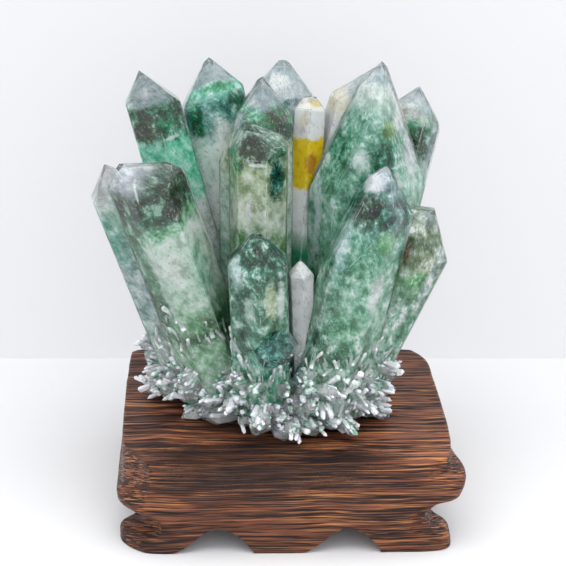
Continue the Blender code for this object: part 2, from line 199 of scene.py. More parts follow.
class Effects:
    """Shader groups that several finishes share."""

    _made: dict[str, bpy.types.NodeTree] = {}

    @classmethod
    def _start(cls, name: str, inputs: dict[str, tuple[str, object]]) -> tuple:
        """Make an empty group with a vector and the given inputs, and a mask as output."""
        tree = bpy.data.node_groups.new(name, "ShaderNodeTree")
        tree.interface.new_socket("Vector", in_out="INPUT", socket_type="NodeSocketVector")
        for label, (kind, value) in inputs.items():
            socket = tree.interface.new_socket(label, in_out="INPUT", socket_type=kind)
            socket.default_value = value
        tree.interface.new_socket("Mask", in_out="OUTPUT", socket_type="NodeSocketFloat")
        return tree, tree.nodes.new("NodeGroupInput"), tree.nodes.new("NodeGroupOutput")

    @classmethod
    def cloud(cls) -> bpy.types.NodeTree:
        """Drifting patches: a mask of fractal noise between two levels."""
        if "cloud" not in cls._made:
            tree, given, out = cls._start("cloud", {
                "Scale": ("NodeSocketFloat", 1.0), "Low": ("NodeSocketFloat", 0.4),
                "High": ("NodeSocketFloat", 0.6), "Detail": ("NodeSocketFloat", 5.0)})
            drift = add_node(tree, "ShaderNodeTexNoise", {
                "Vector": given.outputs["Vector"], "Scale": given.outputs["Scale"],
                "Detail": given.outputs["Detail"], "Roughness": 0.62})
            level = add_node(tree, "ShaderNodeMapRange", {
                "Value": drift.outputs["Fac"], "From Min": given.outputs["Low"],
                "From Max": given.outputs["High"]}, interpolation_type="SMOOTHSTEP")
            tree.links.new(level.outputs["Result"], out.inputs["Mask"])
            cls._made["cloud"] = tree
        return cls._made["cloud"]

    @classmethod
    def tuft(cls) -> bpy.types.NodeTree:
        """One ragged tuft of moss round a centre."""
        if "tuft" not in cls._made:
            tree, given, out = cls._start("tuft", {
                "Centre": ("NodeSocketVector", (0, 0, 0)), "Size": ("NodeSocketVector", (1, 1, 1)),
                "Ragged": ("NodeSocketFloat", 0.6), "Scale": ("NodeSocketFloat", 0.3)})
            away = add_node(tree, "ShaderNodeVectorMath", {
                0: given.outputs["Vector"], 1: given.outputs["Centre"]}, operation="SUBTRACT")
            near = add_node(tree, "ShaderNodeVectorMath", {
                0: away.outputs[0], 1: given.outputs["Size"]}, operation="DIVIDE")
            torn = add_node(tree, "ShaderNodeTexNoise", {
                "Vector": given.outputs["Vector"], "Scale": given.outputs["Scale"],
                "Detail": 5.0, "Roughness": 0.7})
            reach = add_node(tree, "ShaderNodeVectorMath", {0: near.outputs[0]},
                             operation="LENGTH")
            rough = add_node(tree, "ShaderNodeMath", {
                0: torn.outputs["Fac"], 1: given.outputs["Ragged"], 2: reach.outputs["Value"]},
                operation="MULTIPLY_ADD")
            grains = add_node(tree, "ShaderNodeTexNoise", {
                "Vector": given.outputs["Vector"], "Scale": 1.9, "Detail": 3.0})
            granular = add_node(tree, "ShaderNodeMath", {
                0: grains.outputs["Fac"], 1: 0.8, 2: rough.outputs[0]},
                operation="MULTIPLY_ADD")
            level = add_node(tree, "ShaderNodeMapRange", {
                "Value": granular.outputs[0], "From Min": 1.95, "From Max": 1.35},
                interpolation_type="SMOOTHSTEP")
            tree.links.new(level.outputs["Result"], out.inputs["Mask"])
            cls._made["tuft"] = tree
        return cls._made["tuft"]

    @classmethod
    def fibres(cls) -> bpy.types.NodeTree:
        """Slanting fibres and patches inside a crystal, as a value round one half."""
        if "fibres" not in cls._made:
            tree, given, out = cls._start("fibres", {
                "Slant": ("NodeSocketVector", (0.0, 0.0, 0.0)),
                "Size": ("NodeSocketFloat", 1.0)})
            sized = add_node(tree, "ShaderNodeVectorMath", {
                0: given.outputs["Vector"], 1: given.outputs["Size"]}, operation="DIVIDE")
            parts = []
            for turn, size, share in ((given.outputs["Slant"], (1.0, 1.0, 5.0), 0.2),
                                      ((-0.35, 0.45, 0.2), (2.2, 2.2, 9.0), 0.2)):
                drawn = add_node(tree, "ShaderNodeMapping", {
                    "Vector": sized.outputs[0], "Rotation": turn, "Scale": size},
                    vector_type="TEXTURE")
                parts.append((drawn.outputs[0], 1.0, 4.0, share))
            parts.append((sized.outputs[0], 0.22, 10.0, 0.6))
            total: bpy.types.NodeSocket | float = 0.0
            for vector, scale, detail, share in parts:
                fibre = add_node(tree, "ShaderNodeTexNoise", {
                    "Vector": vector, "Scale": scale, "Detail": detail, "Roughness": 0.66})
                total = add_node(tree, "ShaderNodeMath", {
                    0: fibre.outputs["Fac"], 1: share, 2: total},
                    operation="MULTIPLY_ADD").outputs[0]
            tree.links.new(total, out.inputs["Mask"])
            cls._made["fibres"] = tree
        return cls._made["fibres"]

    @classmethod
    def grain(cls) -> bpy.types.NodeTree:
        """Wood grain: thin tilted sheets that run along X and wander a little."""
        if "grain" not in cls._made:
            tree, given, out = cls._start("grain", {
                "Size": ("NodeSocketVector", (0.04, 0.015, 0.0006)),
                "Low": ("NodeSocketFloat", 0.4), "High": ("NodeSocketFloat", 0.6)})
            slow = add_node(tree, "ShaderNodeTexNoise", {
                "Vector": given.outputs["Vector"], "Scale": 22.0, "Detail": 2.0})
            sway = add_node(tree, "ShaderNodeVectorMath", {
                0: slow.outputs["Color"], 1: (0.0, 0.004, 0.004), 2: given.outputs["Vector"]},
                operation="MULTIPLY_ADD")
            drawn = add_node(tree, "ShaderNodeMapping", {
                "Vector": sway.outputs[0], "Rotation": (SHEET_TILT, 0.0, 0.012),
                "Scale": given.outputs["Size"]}, vector_type="TEXTURE")
            lines = add_node(tree, "ShaderNodeTexNoise", {
                "Vector": drawn.outputs[0], "Scale": 1.0, "Detail": 2.0, "Roughness": 0.7})
            level = add_node(tree, "ShaderNodeMapRange", {
                "Value": lines.outputs["Fac"], "From Min": given.outputs["Low"],
                "From Max": given.outputs["High"]}, interpolation_type="SMOOTHSTEP")
            tree.links.new(level.outputs["Result"], out.inputs["Mask"])
            cls._made["grain"] = tree
        return cls._made["grain"]


def use_group(shading: Shading, group: bpy.types.NodeTree, inputs: dict) -> bpy.types.NodeSocket:
    """Place a shared group in a material and return its mask."""
    node = shading.tree.nodes.new("ShaderNodeGroup")
    node.node_tree = group
    for name, value in inputs.items():
        if isinstance(value, bpy.types.NodeSocket):
            shading.tree.links.new(value, node.inputs[name])
        else:
            node.inputs[name].default_value = value
    return node.outputs["Mask"]


@dataclass(frozen=True)
class Crystal:
    """One six-sided crystal, in the same terms as the solids.

    foot and head are the ends of the axis, girth the width across each pair of sides, spin the turn
    of the sides, caps the lift of each point face, taper the narrowing towards the head, and facets
    extra faces by direction, slope and distance from the head.
    """

    name: str
    foot: Point
    head: Point
    girth: Point
    spin: float = 0.0
    caps: tuple = (0, 0, 0, 0, 0, 0)
    taper: float = 0.0
    facets: tuple = ()

    def frame(self) -> tuple[np.ndarray, np.ndarray, np.ndarray]:
        """Return the directions right of, away from and along the crystal."""
        along = np.array(self.head, float) - np.array(self.foot, float)
        along /= np.linalg.norm(along)
        right = np.cross(np.array([0.0, 1.0, 0.0]), along)
        right /= np.linalg.norm(right)
        return right, np.cross(along, right), along

    def length(self) -> float:
        """Return the length of the axis."""
        return float(np.linalg.norm(np.array(self.head, float) - np.array(self.foot, float)))

    def planes(self, inset: float, lowered: float) -> list[tuple[np.ndarray, float]]:
        """Return the faces of the same crystal at an earlier stage of its growth.

        Args:
            inset: How far inside the outer sides it lies.
            lowered: How far its point lies below the outer one.

        Returns:
            Outward normals and distances.
        """
        foot = np.array(self.foot, float)
        right, away, along = self.frame()
        head = np.array(self.head, float) - along * lowered
        length = self.length()
        point = math.radians(POINT_ANGLE)
        planes = []
        for i in range(6):
            turn = math.radians(self.spin + 60 * i)
            side = math.cos(turn) * right + math.sin(turn) * away
            reach = self.girth[i % 3] / 2
            normal = side + reach * self.taper / length * along
            normal /= np.linalg.norm(normal)
            planes.append((normal, normal @ (foot + side * reach) - inset))
            cap = math.cos(point) * along + math.sin(point) * side
            planes.append((cap, cap @ head + self.caps[i]))
        for azimuth, slope, distance in self.facets:
            turn, tilt = math.radians(azimuth), math.radians(slope)
            side = math.cos(turn) * right + math.sin(turn) * away
            normal = math.cos(tilt) * side + math.sin(tilt) * along
            planes.append((normal, normal @ head + distance - inset))
        planes.append((-along, -along @ foot - inset))
        return planes


def corners_of(planes: list[tuple[np.ndarray, float]], weld: float = 0.01) -> list[np.ndarray]:
    """Return the corners of the solid that outward planes bound."""
    normals = np.array([plane[0] for plane in planes])
    offsets = np.array([plane[1] for plane in planes])
    triples = np.array(list(combinations(range(len(planes)), 3)))
    matrices = normals[triples]
    solvable = np.abs(np.linalg.det(matrices)) > 1e-6
    meets = np.linalg.solve(matrices[solvable], offsets[triples[solvable]][..., None])[..., 0]
    meets = meets[np.all(meets @ normals.T <= offsets + 1e-5, axis=1)]
    corners: list[np.ndarray] = []
    for meet in meets:
        if all(np.linalg.norm(meet - corner) > weld for corner in corners):
            corners.append(meet)
    return corners


def hull_mesh(edit: bmesh.types.BMesh, corners: list[Vector]) -> None:
    """Add the closed hull of some corners to a mesh being edited."""
    fresh = [edit.verts.new(corner) for corner in corners]
    hull = bmesh.ops.convex_hull(edit, input=fresh)
    spare = {item for item in hull["geom_interior"] + hull["geom_unused"]
             if isinstance(item, bmesh.types.BMVert)}
    bmesh.ops.delete(edit, geom=list(spare), context="VERTS")


def add_part(edit: bmesh.types.BMesh, part: bmesh.types.BMesh) -> None:
    """Add one mesh being edited to another and free it."""
    mesh = bpy.data.meshes.new("part")
    bmesh.ops.recalc_face_normals(part, faces=part.faces)
    part.to_mesh(mesh)
    part.free()
    edit.from_mesh(mesh)
    bpy.data.meshes.remove(mesh)


def finished_piece(name: str, edit: bmesh.types.BMesh, material: bpy.types.Material) -> bpy.types.Object:
    """Turn an edited mesh into a piece of the part.

    Args:
        name: The piece's name.
        edit: The mesh, which is used up.
        material: Its finish.

    Returns:
        The new object, riding on the one body.
    """
    bmesh.ops.recalc_face_normals(edit, faces=edit.faces)
    mesh = bpy.data.meshes.new(name)
    edit.to_mesh(mesh)
    edit.free()
    mesh.materials.append(material)
    piece = bpy.data.objects.new(name, mesh)
    bpy.context.scene.collection.objects.link(piece)
    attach(piece, BODY)
    LOG.info("%s: %d faces", name, len(mesh.polygons))
    return piece


@dataclass(frozen=True)
class Layer:
    """The colour and cover of a core at a depth below the crystal's head."""

    depth: float
    colour: Colour
    cover: float


@dataclass(frozen=True)
class Tuft:
    """A tuft of moss or cloud: its middle and reach to the right, away and down the crystal."""

    middle: Point
    reach: Point
    colour: Colour
    cover: float = 1.0


@dataclass(frozen=True)
class CoreFinish:
    """How the inside of one crystal is coloured, in colours as they show through the quartz.

    layers colour it by depth, tufts lie at their own places, ragged is how far the layers wander,
    in millimetres, mottle how strongly fibres and patches lighten and darken it, and slant how
    the fibres lean.
    """

    layers: tuple[Layer, ...]
    tufts: tuple[Tuft, ...] = ()
    ragged: float = 5.0
    mottle: float = 0.55
    slant: Point = (0.3, 0.5, 0.0)

    def material(self, name: str, length: float, seed: float) -> bpy.types.Material:
        """Make the material.

        Args:
            name: The material's name.
            length: The crystal's length in millimetres.
            seed: A number that sets this crystal's noise apart.

        Returns:
            The material.
        """
        sh = Shading(name)
        growth = sh.add("ShaderNodeAttribute", attribute_name="growth").outputs["Vector"]
        moved = sh.add("ShaderNodeVectorMath", {0: growth, 1: (seed * 17.0, seed * 5.0, 0.0)},
                       operation="ADD").outputs[0]
        tone = use_group(sh, Effects.fibres(), {"Vector": moved, "Slant": self.slant})
        colour, cover = self.zones(sh, growth, moved, length)
        for tuft in self.tufts:
            mask = use_group(sh, Effects.tuft(), {
                "Vector": growth, "Centre": tuft.middle, "Size": tuft.reach, "Ragged": 0.9,
                "Scale": 0.32})
            colour = sh.add("ShaderNodeMix", {"Factor": mask, 6: colour,
                                              7: beneath_quartz(tuft.colour)},
                            data_type="RGBA").outputs[2]
            cover = sh.add("ShaderNodeMix", {"Factor": mask, 2: cover, 3: tuft.cover},
                           data_type="FLOAT").outputs[0]
        colour = self.mottled(sh, colour, tone, moved)
        thin = sh.add("ShaderNodeMapRange", {"Value": tone, "From Min": 0.42, "From Max": 0.56,
                                             "To Min": 0.75, "To Max": 1.25}).outputs["Result"]
        alpha = sh.add("ShaderNodeMath", {0: cover, 1: thin}, operation="MULTIPLY",
                       use_clamp=True).outputs[0]
        sh.feed("Base Color", colour)
        sh.feed("Alpha", alpha)
        bump = sh.add("ShaderNodeBump", {"Height": tone, "Strength": 0.6, "Distance": 0.002})
        sh.feed("Normal", bump.outputs["Normal"])
        sh.set(Roughness=0.5, IOR=1.05)
        return sh.material

    def zones(self, sh: Shading, growth: bpy.types.NodeSocket, moved: bpy.types.NodeSocket,
              length: float) -> tuple[bpy.types.NodeSocket, bpy.types.NodeSocket]:
        """Colour the crystal by depth, with ragged borders between the layers.

        Args:
            sh: The material.
            growth: The place in the crystal.
            moved: The same place, set apart from other crystals.
            length: The crystal's length in millimetres.

        Returns:
            The colour and the cover.
        """
        depth = sh.add("ShaderNodeSeparateXYZ", {0: growth}).outputs["Z"]
        slow = sh.add("ShaderNodeTexNoise", {"Vector": moved, "Scale": 0.11, "Detail": 8.0,
                                             "Roughness": 0.72}).outputs["Fac"]
        wander = sh.add("ShaderNodeMath", {0: slow, 1: 4 * self.ragged, 2: -2 * self.ragged},
                        operation="MULTIPLY_ADD").outputs[0]
        ragged = sh.add("ShaderNodeMath", {0: depth, 1: wander}, operation="ADD").outputs[0]
        part = sh.add("ShaderNodeMath", {0: ragged, 1: length}, operation="DIVIDE").outputs[0]
        ramp = sh.add("ShaderNodeValToRGB", {"Fac": part})
        stops = ramp.color_ramp.elements
        while len(stops) < len(self.layers):
            stops.new(0.5)
        for stop, layer in zip(stops, self.layers):
            stop.position = max(0.0, min(1.0, layer.depth / length))
            stop.color = beneath_quartz(layer.colour, layer.cover)
        return ramp.outputs["Color"], ramp.outputs["Alpha"]

    def mottled(self, sh: Shading, colour: bpy.types.NodeSocket, tone: bpy.types.NodeSocket,
                moved: bpy.types.NodeSocket) -> bpy.types.NodeSocket:
        """Deepen and lighten a colour along the fibres, and sprinkle it with white specks."""
        strength = sh.add("ShaderNodeMapRange", {
            "Value": tone, "From Min": 0.41, "From Max": 0.59, "To Min": 1 + 1.8 * self.mottle,
            "To Max": 1 - 1.5 * self.mottle}).outputs["Result"]
        deep = sh.add("ShaderNodeGamma", {"Color": colour, "Gamma": strength}).outputs[0]
        specks = use_group(sh, Effects.cloud(), {"Vector": moved, "Scale": 1.5, "Low": 0.63,
                                                 "High": 0.7, "Detail": 2.0})
        some = sh.add("ShaderNodeMath", {0: specks, 1: self.mottle},
                      operation="MULTIPLY").outputs[0]
        return sh.add("ShaderNodeMix", {"Factor": some, 6: deep, 7: beneath_quartz(PALE)},
                      data_type="RGBA").outputs[2]


@dataclass(frozen=True)
class Core:
    """The inside of one crystal: the crystal at an earlier stage of its growth."""

    crystal: Crystal
    finish: CoreFinish
    lowered: float = 2.2
    inset: float = 0.8

    def build(self, place: Place, seed: int) -> bpy.types.Object:
        """Build the core.

        Args:
            place: Where millimetres lie in the frame.
            seed: The crystal's number.

        Returns:
            The piece.
        """
        corners = corners_of(self.crystal.planes(self.inset, self.lowered))
        edit = bmesh.new()
        hull_mesh(edit, [place.metres(tuple(corner)) for corner in corners])
        self.mark_growth(edit, place)
        name = f"core_{self.crystal.name}"
        material = self.finish.material(name, self.crystal.length(), seed)
        return finished_piece(name, edit, material)

    def mark_growth(self, edit: bmesh.types.BMesh, place: Place) -> None:
        """Give each corner its place in the crystal (right, away, depth) and the axis."""
        right, away, along = self.crystal.frame()
        head = place.metres(self.crystal.head)
        growth = edit.verts.layers.float_vector.new("growth")
        axis = edit.verts.layers.float_vector.new("along")
        for corner in edit.verts:
            reach = np.array(corner.co - head, float) / MM
            corner[growth] = Vector((reach @ right, reach @ away, -(reach @ along)))
            corner[axis] = Vector(along)


MOSS_BLACK = (20, 52, 40)
MOSS_DARK = (28, 78, 56)
MOSS_DEEP = (50, 120, 86)
LEAF = (88, 132, 78)
EMERALD = (104, 194, 158)
JADE = (128, 178, 152)
TEAL = (72, 124, 114)
SLATE = (112, 136, 142)
MILKY = (168, 196, 180)
PALE = (200, 214, 206)
OLIVE = (140, 160, 122)
LILAC = (180, 208, 218)
ROSE = (216, 204, 206)
FROST = (234, 240, 242)
GOLD = (240, 186, 0)
AMBER = (176, 112, 8)
CREAM = (222, 214, 180)


CORES = (
    Core(Crystal("back_left", (-25, 14, 64), (-50.5, 32, 153.5), (19, 19, 19), 8,
                 (-1.6, 0, 0, 0.8, 0.4, -0.8), 0.02),
         CoreFinish((Layer(0, LILAC, 0.25), Layer(11, LILAC, 0.35), Layer(13, MOSS_DARK, 0.95),
                     Layer(23, MOSS_DARK, 1.0), Layer(27, EMERALD, 1.0), Layer(47, EMERALD, 1.0),
                     Layer(53, PALE, 0.95), Layer(80, MILKY, 1.0)),
                    (Tuft((-4, -7, 20), (4, 7, 6), (46, 62, 38)),
                     Tuft((4, -8, 19), (4, 7, 4), (38, 96, 66)),
                     Tuft((-6.5, -8, 44), (3, 8, 14), PALE, 0.7),
                     Tuft((4, -8, 25.5), (3.5, 6, 0.8), PALE)), 4.0)),
    Core(Crystal("back_arch", (-12, 22, 78), (-30, 46, 155), (23.5, 23.5, 23.5), 10,
                 (0, 0, -2.5, -2.5, -2.5, 0), 0.04),
         CoreFinish((Layer(0, LILAC, 0.3), Layer(11, LILAC, 0.4), Layer(14, EMERALD, 0.9),
                     Layer(19, TEAL, 0.95), Layer(27, TEAL, 0.95), Layer(33, (206, 238, 222), 1.0),
                     Layer(60, FROST, 1.0), Layer(75, MILKY, 1.0)),
                    (Tuft((2, -10, 30), (4, 8, 8), PALE),
                     Tuft((-6, -8, 24), (3.5, 7, 8), (34, 98, 70)),
                     Tuft((9, -6, 19), (4, 7, 5), (30, 86, 64)),
                     Tuft((3, -7, 14), (7, 8, 2.5), (66, 138, 102)),
                     Tuft((-11, -6, 20), (2, 8, 12), LILAC, 0.4)), 3.0)),
    Core(Crystal("back_middle", (-3, 24, 62), (-0.5, 46, 154), (21, 21, 21), 0,
                 (0, -1.5, 0, 0, -0.5, -0.3), 0.0, ((90, 85, -2),)),
         CoreFinish((Layer(0, SLATE, 0.4), Layer(6, LILAC, 0.55), Layer(14, (184, 198, 202), 0.7),
                     Layer(24, LILAC, 0.8), Layer(45, MILKY, 0.9), Layer(70, MILKY, 1.0)),
                    (Tuft((-1.5, -6, 9.5), (4, 7, 4), FROST, 0.9),
                     Tuft((2.5, -8, 16), (5, 7, 1.8), (84, 110, 118))), 4.0)),
    Core(Crystal("tall_middle", (-10, 12, 60), (-11, 28, 153.5), (26, 25, 26), 0,
                 (1, 0, -2, -2, -2, 0), 0.0,
                 ((0, 25, 7.5), (300, 25, 8), (180, 31, -2), (240, 33, 0), (180, 20, 1.8),
                  (240, 20, 4), (120, 20, 4))),
         CoreFinish((Layer(0, LILAC, 0.3), Layer(10, LILAC, 0.45), Layer(13, MOSS_DEEP, 0.9),
                     Layer(20, MOSS_DARK, 0.95), Layer(26, OLIVE, 1.0), Layer(42, MILKY, 1.0),
                     Layer(70, JADE, 1.0)),
                    (Tuft((7, -9, 16), (6, 8, 5), (32, 72, 46)),
                     Tuft((-8, -8, 15), (5, 10, 6), LILAC, 0.45),
                     Tuft((-9, -1, 25), (3.5, 9, 7), (176, 192, 176)),
                     Tuft((10, -8, 42), (3.5, 9, 16), (176, 198, 180))), 4.0)),
    Core(Crystal("middle_front", (-9.5, 0, 58), (-10.5, 4, 152.5), (18, 18, 18), 15,
                 (0, 0, 0, 0, -5, 0), 0.0, ((340, 60, -8.9), (180, 28, -0.3), (60, 60, -8.5))),
         CoreFinish((Layer(0, LILAC, 0.4), Layer(9, SLATE, 0.7), Layer(13, (92, 120, 108), 0.95),
                     Layer(19, (74, 108, 86), 1.0), Layer(22.5, OLIVE, 1.0),
                     Layer(30, OLIVE, 1.0), Layer(36, (162, 178, 150), 1.0),
                     Layer(46, (156, 178, 152), 1.0), Layer(55, LEAF, 1.0),
                     Layer(66, MOSS_DEEP, 1.0), Layer(90, MILKY, 1.0)),
                    (Tuft((-1.5, -6, 16.5), (6.5, 9, 5.5), (24, 50, 38)),
                     Tuft((6, -6, 27), (3.5, 8, 9), (34, 76, 66)),
                     Tuft((-6.5, -5, 22), (1.8, 6, 3.5), (44, 90, 50)),
                     Tuft((-0.6, -8, 21.2), (3.5, 6, 0.8), PALE),
                     Tuft((-3.3, -7, 37), (1, 7, 6), (194, 196, 202)),
                     Tuft((-6, -5, 50), (3, 7, 7), (76, 124, 78))), 2.5, 0.5)),
    Core(Crystal("golden", (4.5, 10, 72), (9, 34, 145), (11.5, 11, 11), 0,
                 (0, 0, 0, 0, 0, 0), 0.0, ((90, 88, -2.5),)),
         CoreFinish((Layer(0, CREAM, 0.6), Layer(4, (228, 220, 204), 0.8), Layer(9, FROST, 1.0),
                     Layer(17.2, FROST, 1.0), Layer(18, GOLD, 1.0), Layer(34.5, GOLD, 1.0),
                     Layer(35.5, FROST, 1.0), Layer(50, FROST, 1.0), Layer(58, MOSS_DEEP, 1.0)),
                    (Tuft((1.5, -5, 26), (2.2, 5, 5), AMBER),
                     Tuft((2, -5, 5), (3.5, 6, 1.6), (204, 178, 108), 0.9),
                     Tuft((-2, -4, 11), (2, 6, 3), (216, 208, 184), 0.9)), 3.0, 0.06), 1.0, 0.5),
    Core(Crystal("broad_right", (26.5, 6, 56), (30.5, 26, 161.5), (36, 27, 36), 30,
                 (0, 0, -3.5, -3.5, -2, 0), 0.0,
                 ((150, 20, 0.6), (210, 20, 0.6), (270, 25, 4.5), (330, 20, 2), (30, 20, 2),
                  (0, -10, 27), (60, -10, 27))),
         CoreFinish((Layer(0, (172, 186, 188), 0.4), Layer(8, LILAC, 0.6),
                     Layer(12, (190, 204, 200), 0.95), Layer(17, MILKY, 1.0),
                     Layer(22, (92, 142, 122), 1.0), Layer(34, (72, 126, 100), 1.0),
                     Layer(46, (112, 168, 142), 1.0), Layer(60, (106, 162, 134), 1.0),
                     Layer(80, (76, 132, 104), 1.0), Layer(100, MILKY, 1.0)),
                    (Tuft((1, -6, 12.5), (5.5, 8, 3), PALE),
                     Tuft((4.5, -12, 37), (6, 8, 9), (40, 92, 70)),
                     Tuft((-4, -12, 36), (4, 7, 5), (172, 202, 190)),
                     Tuft((14, -5, 33), (4, 12, 14), (192, 202, 204), 0.95),
                     Tuft((9, -4, 22), (4, 9, 7), (180, 194, 190), 0.95),
                     Tuft((5, -11, 25), (3, 8, 4), (112, 148, 96)),
                     Tuft((-11, -11, 48), (5, 8, 7), (76, 132, 106)),
                     Tuft((-12, -11, 78), (5, 8, 6), (44, 92, 66)),
                     Tuft((-17, -5, 50), (1.5, 8, 26), (176, 206, 202))), 5.0, 0.6)),
    Core(Crystal("behind_broad", (8, 21, 64), (34.5, 38, 153), (26, 20, 26), 8,
                 (0, 0, 0, 1, 1, 0)),
         CoreFinish((Layer(0, LILAC, 0.35), Layer(11, LILAC, 0.6), Layer(14, CREAM, 0.95),
                     Layer(19, (218, 208, 170), 1.0), Layer(23, FROST, 1.0),
                     Layer(60, FROST, 1.0)), (), 3.0, 0.4)),
    Core(Crystal("far_right", (28, 18, 60), (48, 38, 146), (20, 17, 20), 10,
                 (0, 0, 0, -1, -1, 0), 0.0, ((0, 20, 5.2), (310, 20, 5), (0, 8, 9))),
         CoreFinish((Layer(0, LILAC, 0.35), Layer(8, LILAC, 0.6), Layer(12, (126, 152, 134), 0.95),
                     Layer(15, MOSS_DEEP, 1.0), Layer(24, MOSS_DARK, 1.0), Layer(30, JADE, 1.0),
                     Layer(45, JADE, 1.0), Layer(80, MILKY, 1.0)),
                    (Tuft((-2, -5, 10), (5, 7, 3), (168, 172, 170), 0.9),
                     Tuft((3, -8, 19), (3.5, 8, 7), (30, 64, 46)),
                     Tuft((9.5, -4, 20), (3.5, 9, 14), (150, 168, 168), 0.7)), 3.0)),
    Core(Crystal("front_right", (13, -13, 42), (33, -6, 132.5), (25, 23, 25), 18,
                 (0, 0, 0, 0, -1, 0), 0.1, ((180, 13, 3.1), (240, 10, 5), (220, 13, 4.5))),
         CoreFinish((Layer(0, LILAC, 0.75), Layer(7, (160, 182, 188), 0.95),
                     Layer(10, (64, 108, 96), 1.0), Layer(13, (32, 78, 64), 1.0),
                     Layer(19, (40, 88, 72), 1.0), Layer(25, (84, 138, 116), 1.0),
                     Layer(33, (82, 138, 108), 1.0), Layer(46, (116, 166, 140), 1.0),
                     Layer(57, (104, 156, 126), 1.0), Layer(68, (64, 112, 86), 1.0),
                     Layer(90, (120, 160, 140), 1.0)),
                    (Tuft((-9, -7, 42), (5.5, 7, 26), (78, 126, 102)),
                     Tuft((-2.5, 0, 7), (4.5, 7, 4), (210, 212, 224)),
                     Tuft((4, -2, 8), (3, 8, 6), (86, 118, 118)),
                     Tuft((-4, -6, 16), (6, 9, 7), (14, 58, 44)),
                     Tuft((6, -8, 14.5), (3, 8, 5), (62, 98, 92)),
                     Tuft((-8, -4, 30), (2.5, 8, 12), (128, 172, 164)),
                     Tuft((5, -10, 24), (4, 8, 5), (98, 158, 108)),
                     Tuft((5.6, -9, 42), (3, 8, 8), (202, 216, 210)),
                     Tuft((-1, -10, 58), (5, 8, 6), (82, 140, 104)),
                     Tuft((-8, -8, 64), (3, 8, 7), (44, 92, 68))), 4.0, 0.6)),
    Core(Crystal("low_right", (20, -2, 44), (52.5, 4, 117), (24, 22, 24), 0,
                 (-2.2, 0, 0, 0, 0, -2), 0.0, ((180, 77, -5), (240, 60, -4), (120, 60, -4))),
         CoreFinish((Layer(0, LILAC, 0.5), Layer(8, (136, 152, 148), 0.8),
                     Layer(12, (104, 122, 96), 1.0), Layer(24, (116, 134, 102), 1.0),
                     Layer(30, (100, 150, 106), 1.0), Layer(38, (100, 142, 118), 1.0),
                     Layer(50, (84, 140, 108), 1.0), Layer(75, MILKY, 1.0)),
                    (Tuft((3.5, -10, 28), (4, 8, 4), (80, 146, 88)),
                     Tuft((-4, -8, 21), (3, 7, 5), (116, 106, 86), 1.0),
                     Tuft((9, -5, 24), (2.5, 9, 16), (146, 168, 164), 0.8)), 4.0, 0.75)),
    Core(Crystal("low_left", (-34, 6, 40), (-64.5, 8, 127.5), (15, 14, 15), 10,
                 (0, 0, -1.5, -1.5, -1, 0)),
         CoreFinish((Layer(0, ROSE, 0.35), Layer(10, (208, 210, 210), 0.55), Layer(14, MILKY, 0.9),
                     Layer(20, (128, 172, 154), 1.0), Layer(32, (100, 152, 134), 1.0),
                     Layer(39, (146, 172, 168), 0.95), Layer(58, (134, 164, 158), 0.95),
                     Layer(70, MILKY, 1.0), Layer(90, FROST, 1.0)),
                    (Tuft((3, -6, 27), (2.5, 7, 3.5), (36, 88, 76)),
                     Tuft((-5, -4, 25), (2.5, 7, 8), (92, 148, 130))), 4.0)),
    Core(Crystal("front_left", (-22, -3, 47), (-52, -8, 139.5), (25, 25, 21), 42,
                 (0, 0, 2, 4, 2, 0), 0.0, ((330, 61, -5.6), (60, 61, -5.6))),
         CoreFinish((Layer(0, LILAC, 0.5), Layer(9, (188, 194, 204), 0.8),
                     Layer(12.5, (62, 88, 74), 0.95), Layer(15, MOSS_BLACK, 1.0),
                     Layer(24, MOSS_DARK, 1.0), Layer(28, (92, 152, 112), 1.0),
                     Layer(31.5, (180, 206, 188), 1.0), Layer(42, (172, 196, 178), 1.0),
                     Layer(57, (158, 190, 166), 1.0), Layer(65, (104, 152, 112), 1.0),
                     Layer(70, (54, 100, 64), 1.0), Layer(79, (110, 158, 120), 1.0),
                     Layer(97, MILKY, 1.0)),
                    (Tuft((6, -7, 22), (6, 8, 5), (14, 44, 34)),
                     Tuft((-10, -6, 31), (3.5, 8, 6), (36, 94, 60)),
                     Tuft((-9.5, -6, 50), (5, 9, 24), (50, 104, 74)),
                     Tuft((-10, -6, 55), (3.5, 8, 7), (20, 78, 42)),
                     Tuft((0, -11, 42), (4, 8, 8), (192, 206, 192)),
                     Tuft((8, -8, 48), (3.5, 8, 14), (142, 186, 160)),
                     Tuft((-3, -9, 12.5), (0.5, 7, 4), PALE),
                     Tuft((6, -9, 68), (5, 8, 5), (42, 84, 48))), 3.0, 0.5)),
    Core(Crystal("front_middle", (-8, -13, 43), (-11.5, -18, 114.5), (20, 20, 20), 2,
                 (0, -1, -1, 0, 0, 0), 0.0, ((90, 80, -2),)),
         CoreFinish((Layer(0, (104, 138, 132), 0.9), Layer(4, (64, 102, 90), 0.95),
                     Layer(7, (34, 72, 58), 1.0), Layer(13, (36, 78, 62), 1.0),
                     Layer(20, (62, 106, 82), 1.0), Layer(34, (74, 122, 96), 1.0),
                     Layer(48, (86, 148, 124), 1.0), Layer(60, (76, 134, 106), 1.0)),
                    (Tuft((-6, -8, 32), (4.5, 7, 22), (66, 106, 88)),
                     Tuft((0.8, -5, 9), (4.5, 8, 5), (30, 66, 52)),
                     Tuft((-3.5, -8, 17), (2.6, 7, 8), (30, 76, 58)),
                     Tuft((4, -8, 24), (3, 7, 8), (152, 172, 134)),
                     Tuft((-3, -8, 27), (2, 7, 6), (146, 178, 164)),
                     Tuft((-7, -5, 14), (2.5, 7, 6), (138, 174, 168)),
                     Tuft((7.5, -6, 25), (1.5, 7, 9), (186, 202, 196)),
                     Tuft((2, -9, 42), (3, 7, 5), (56, 104, 90))), 3.0, 0.6)),
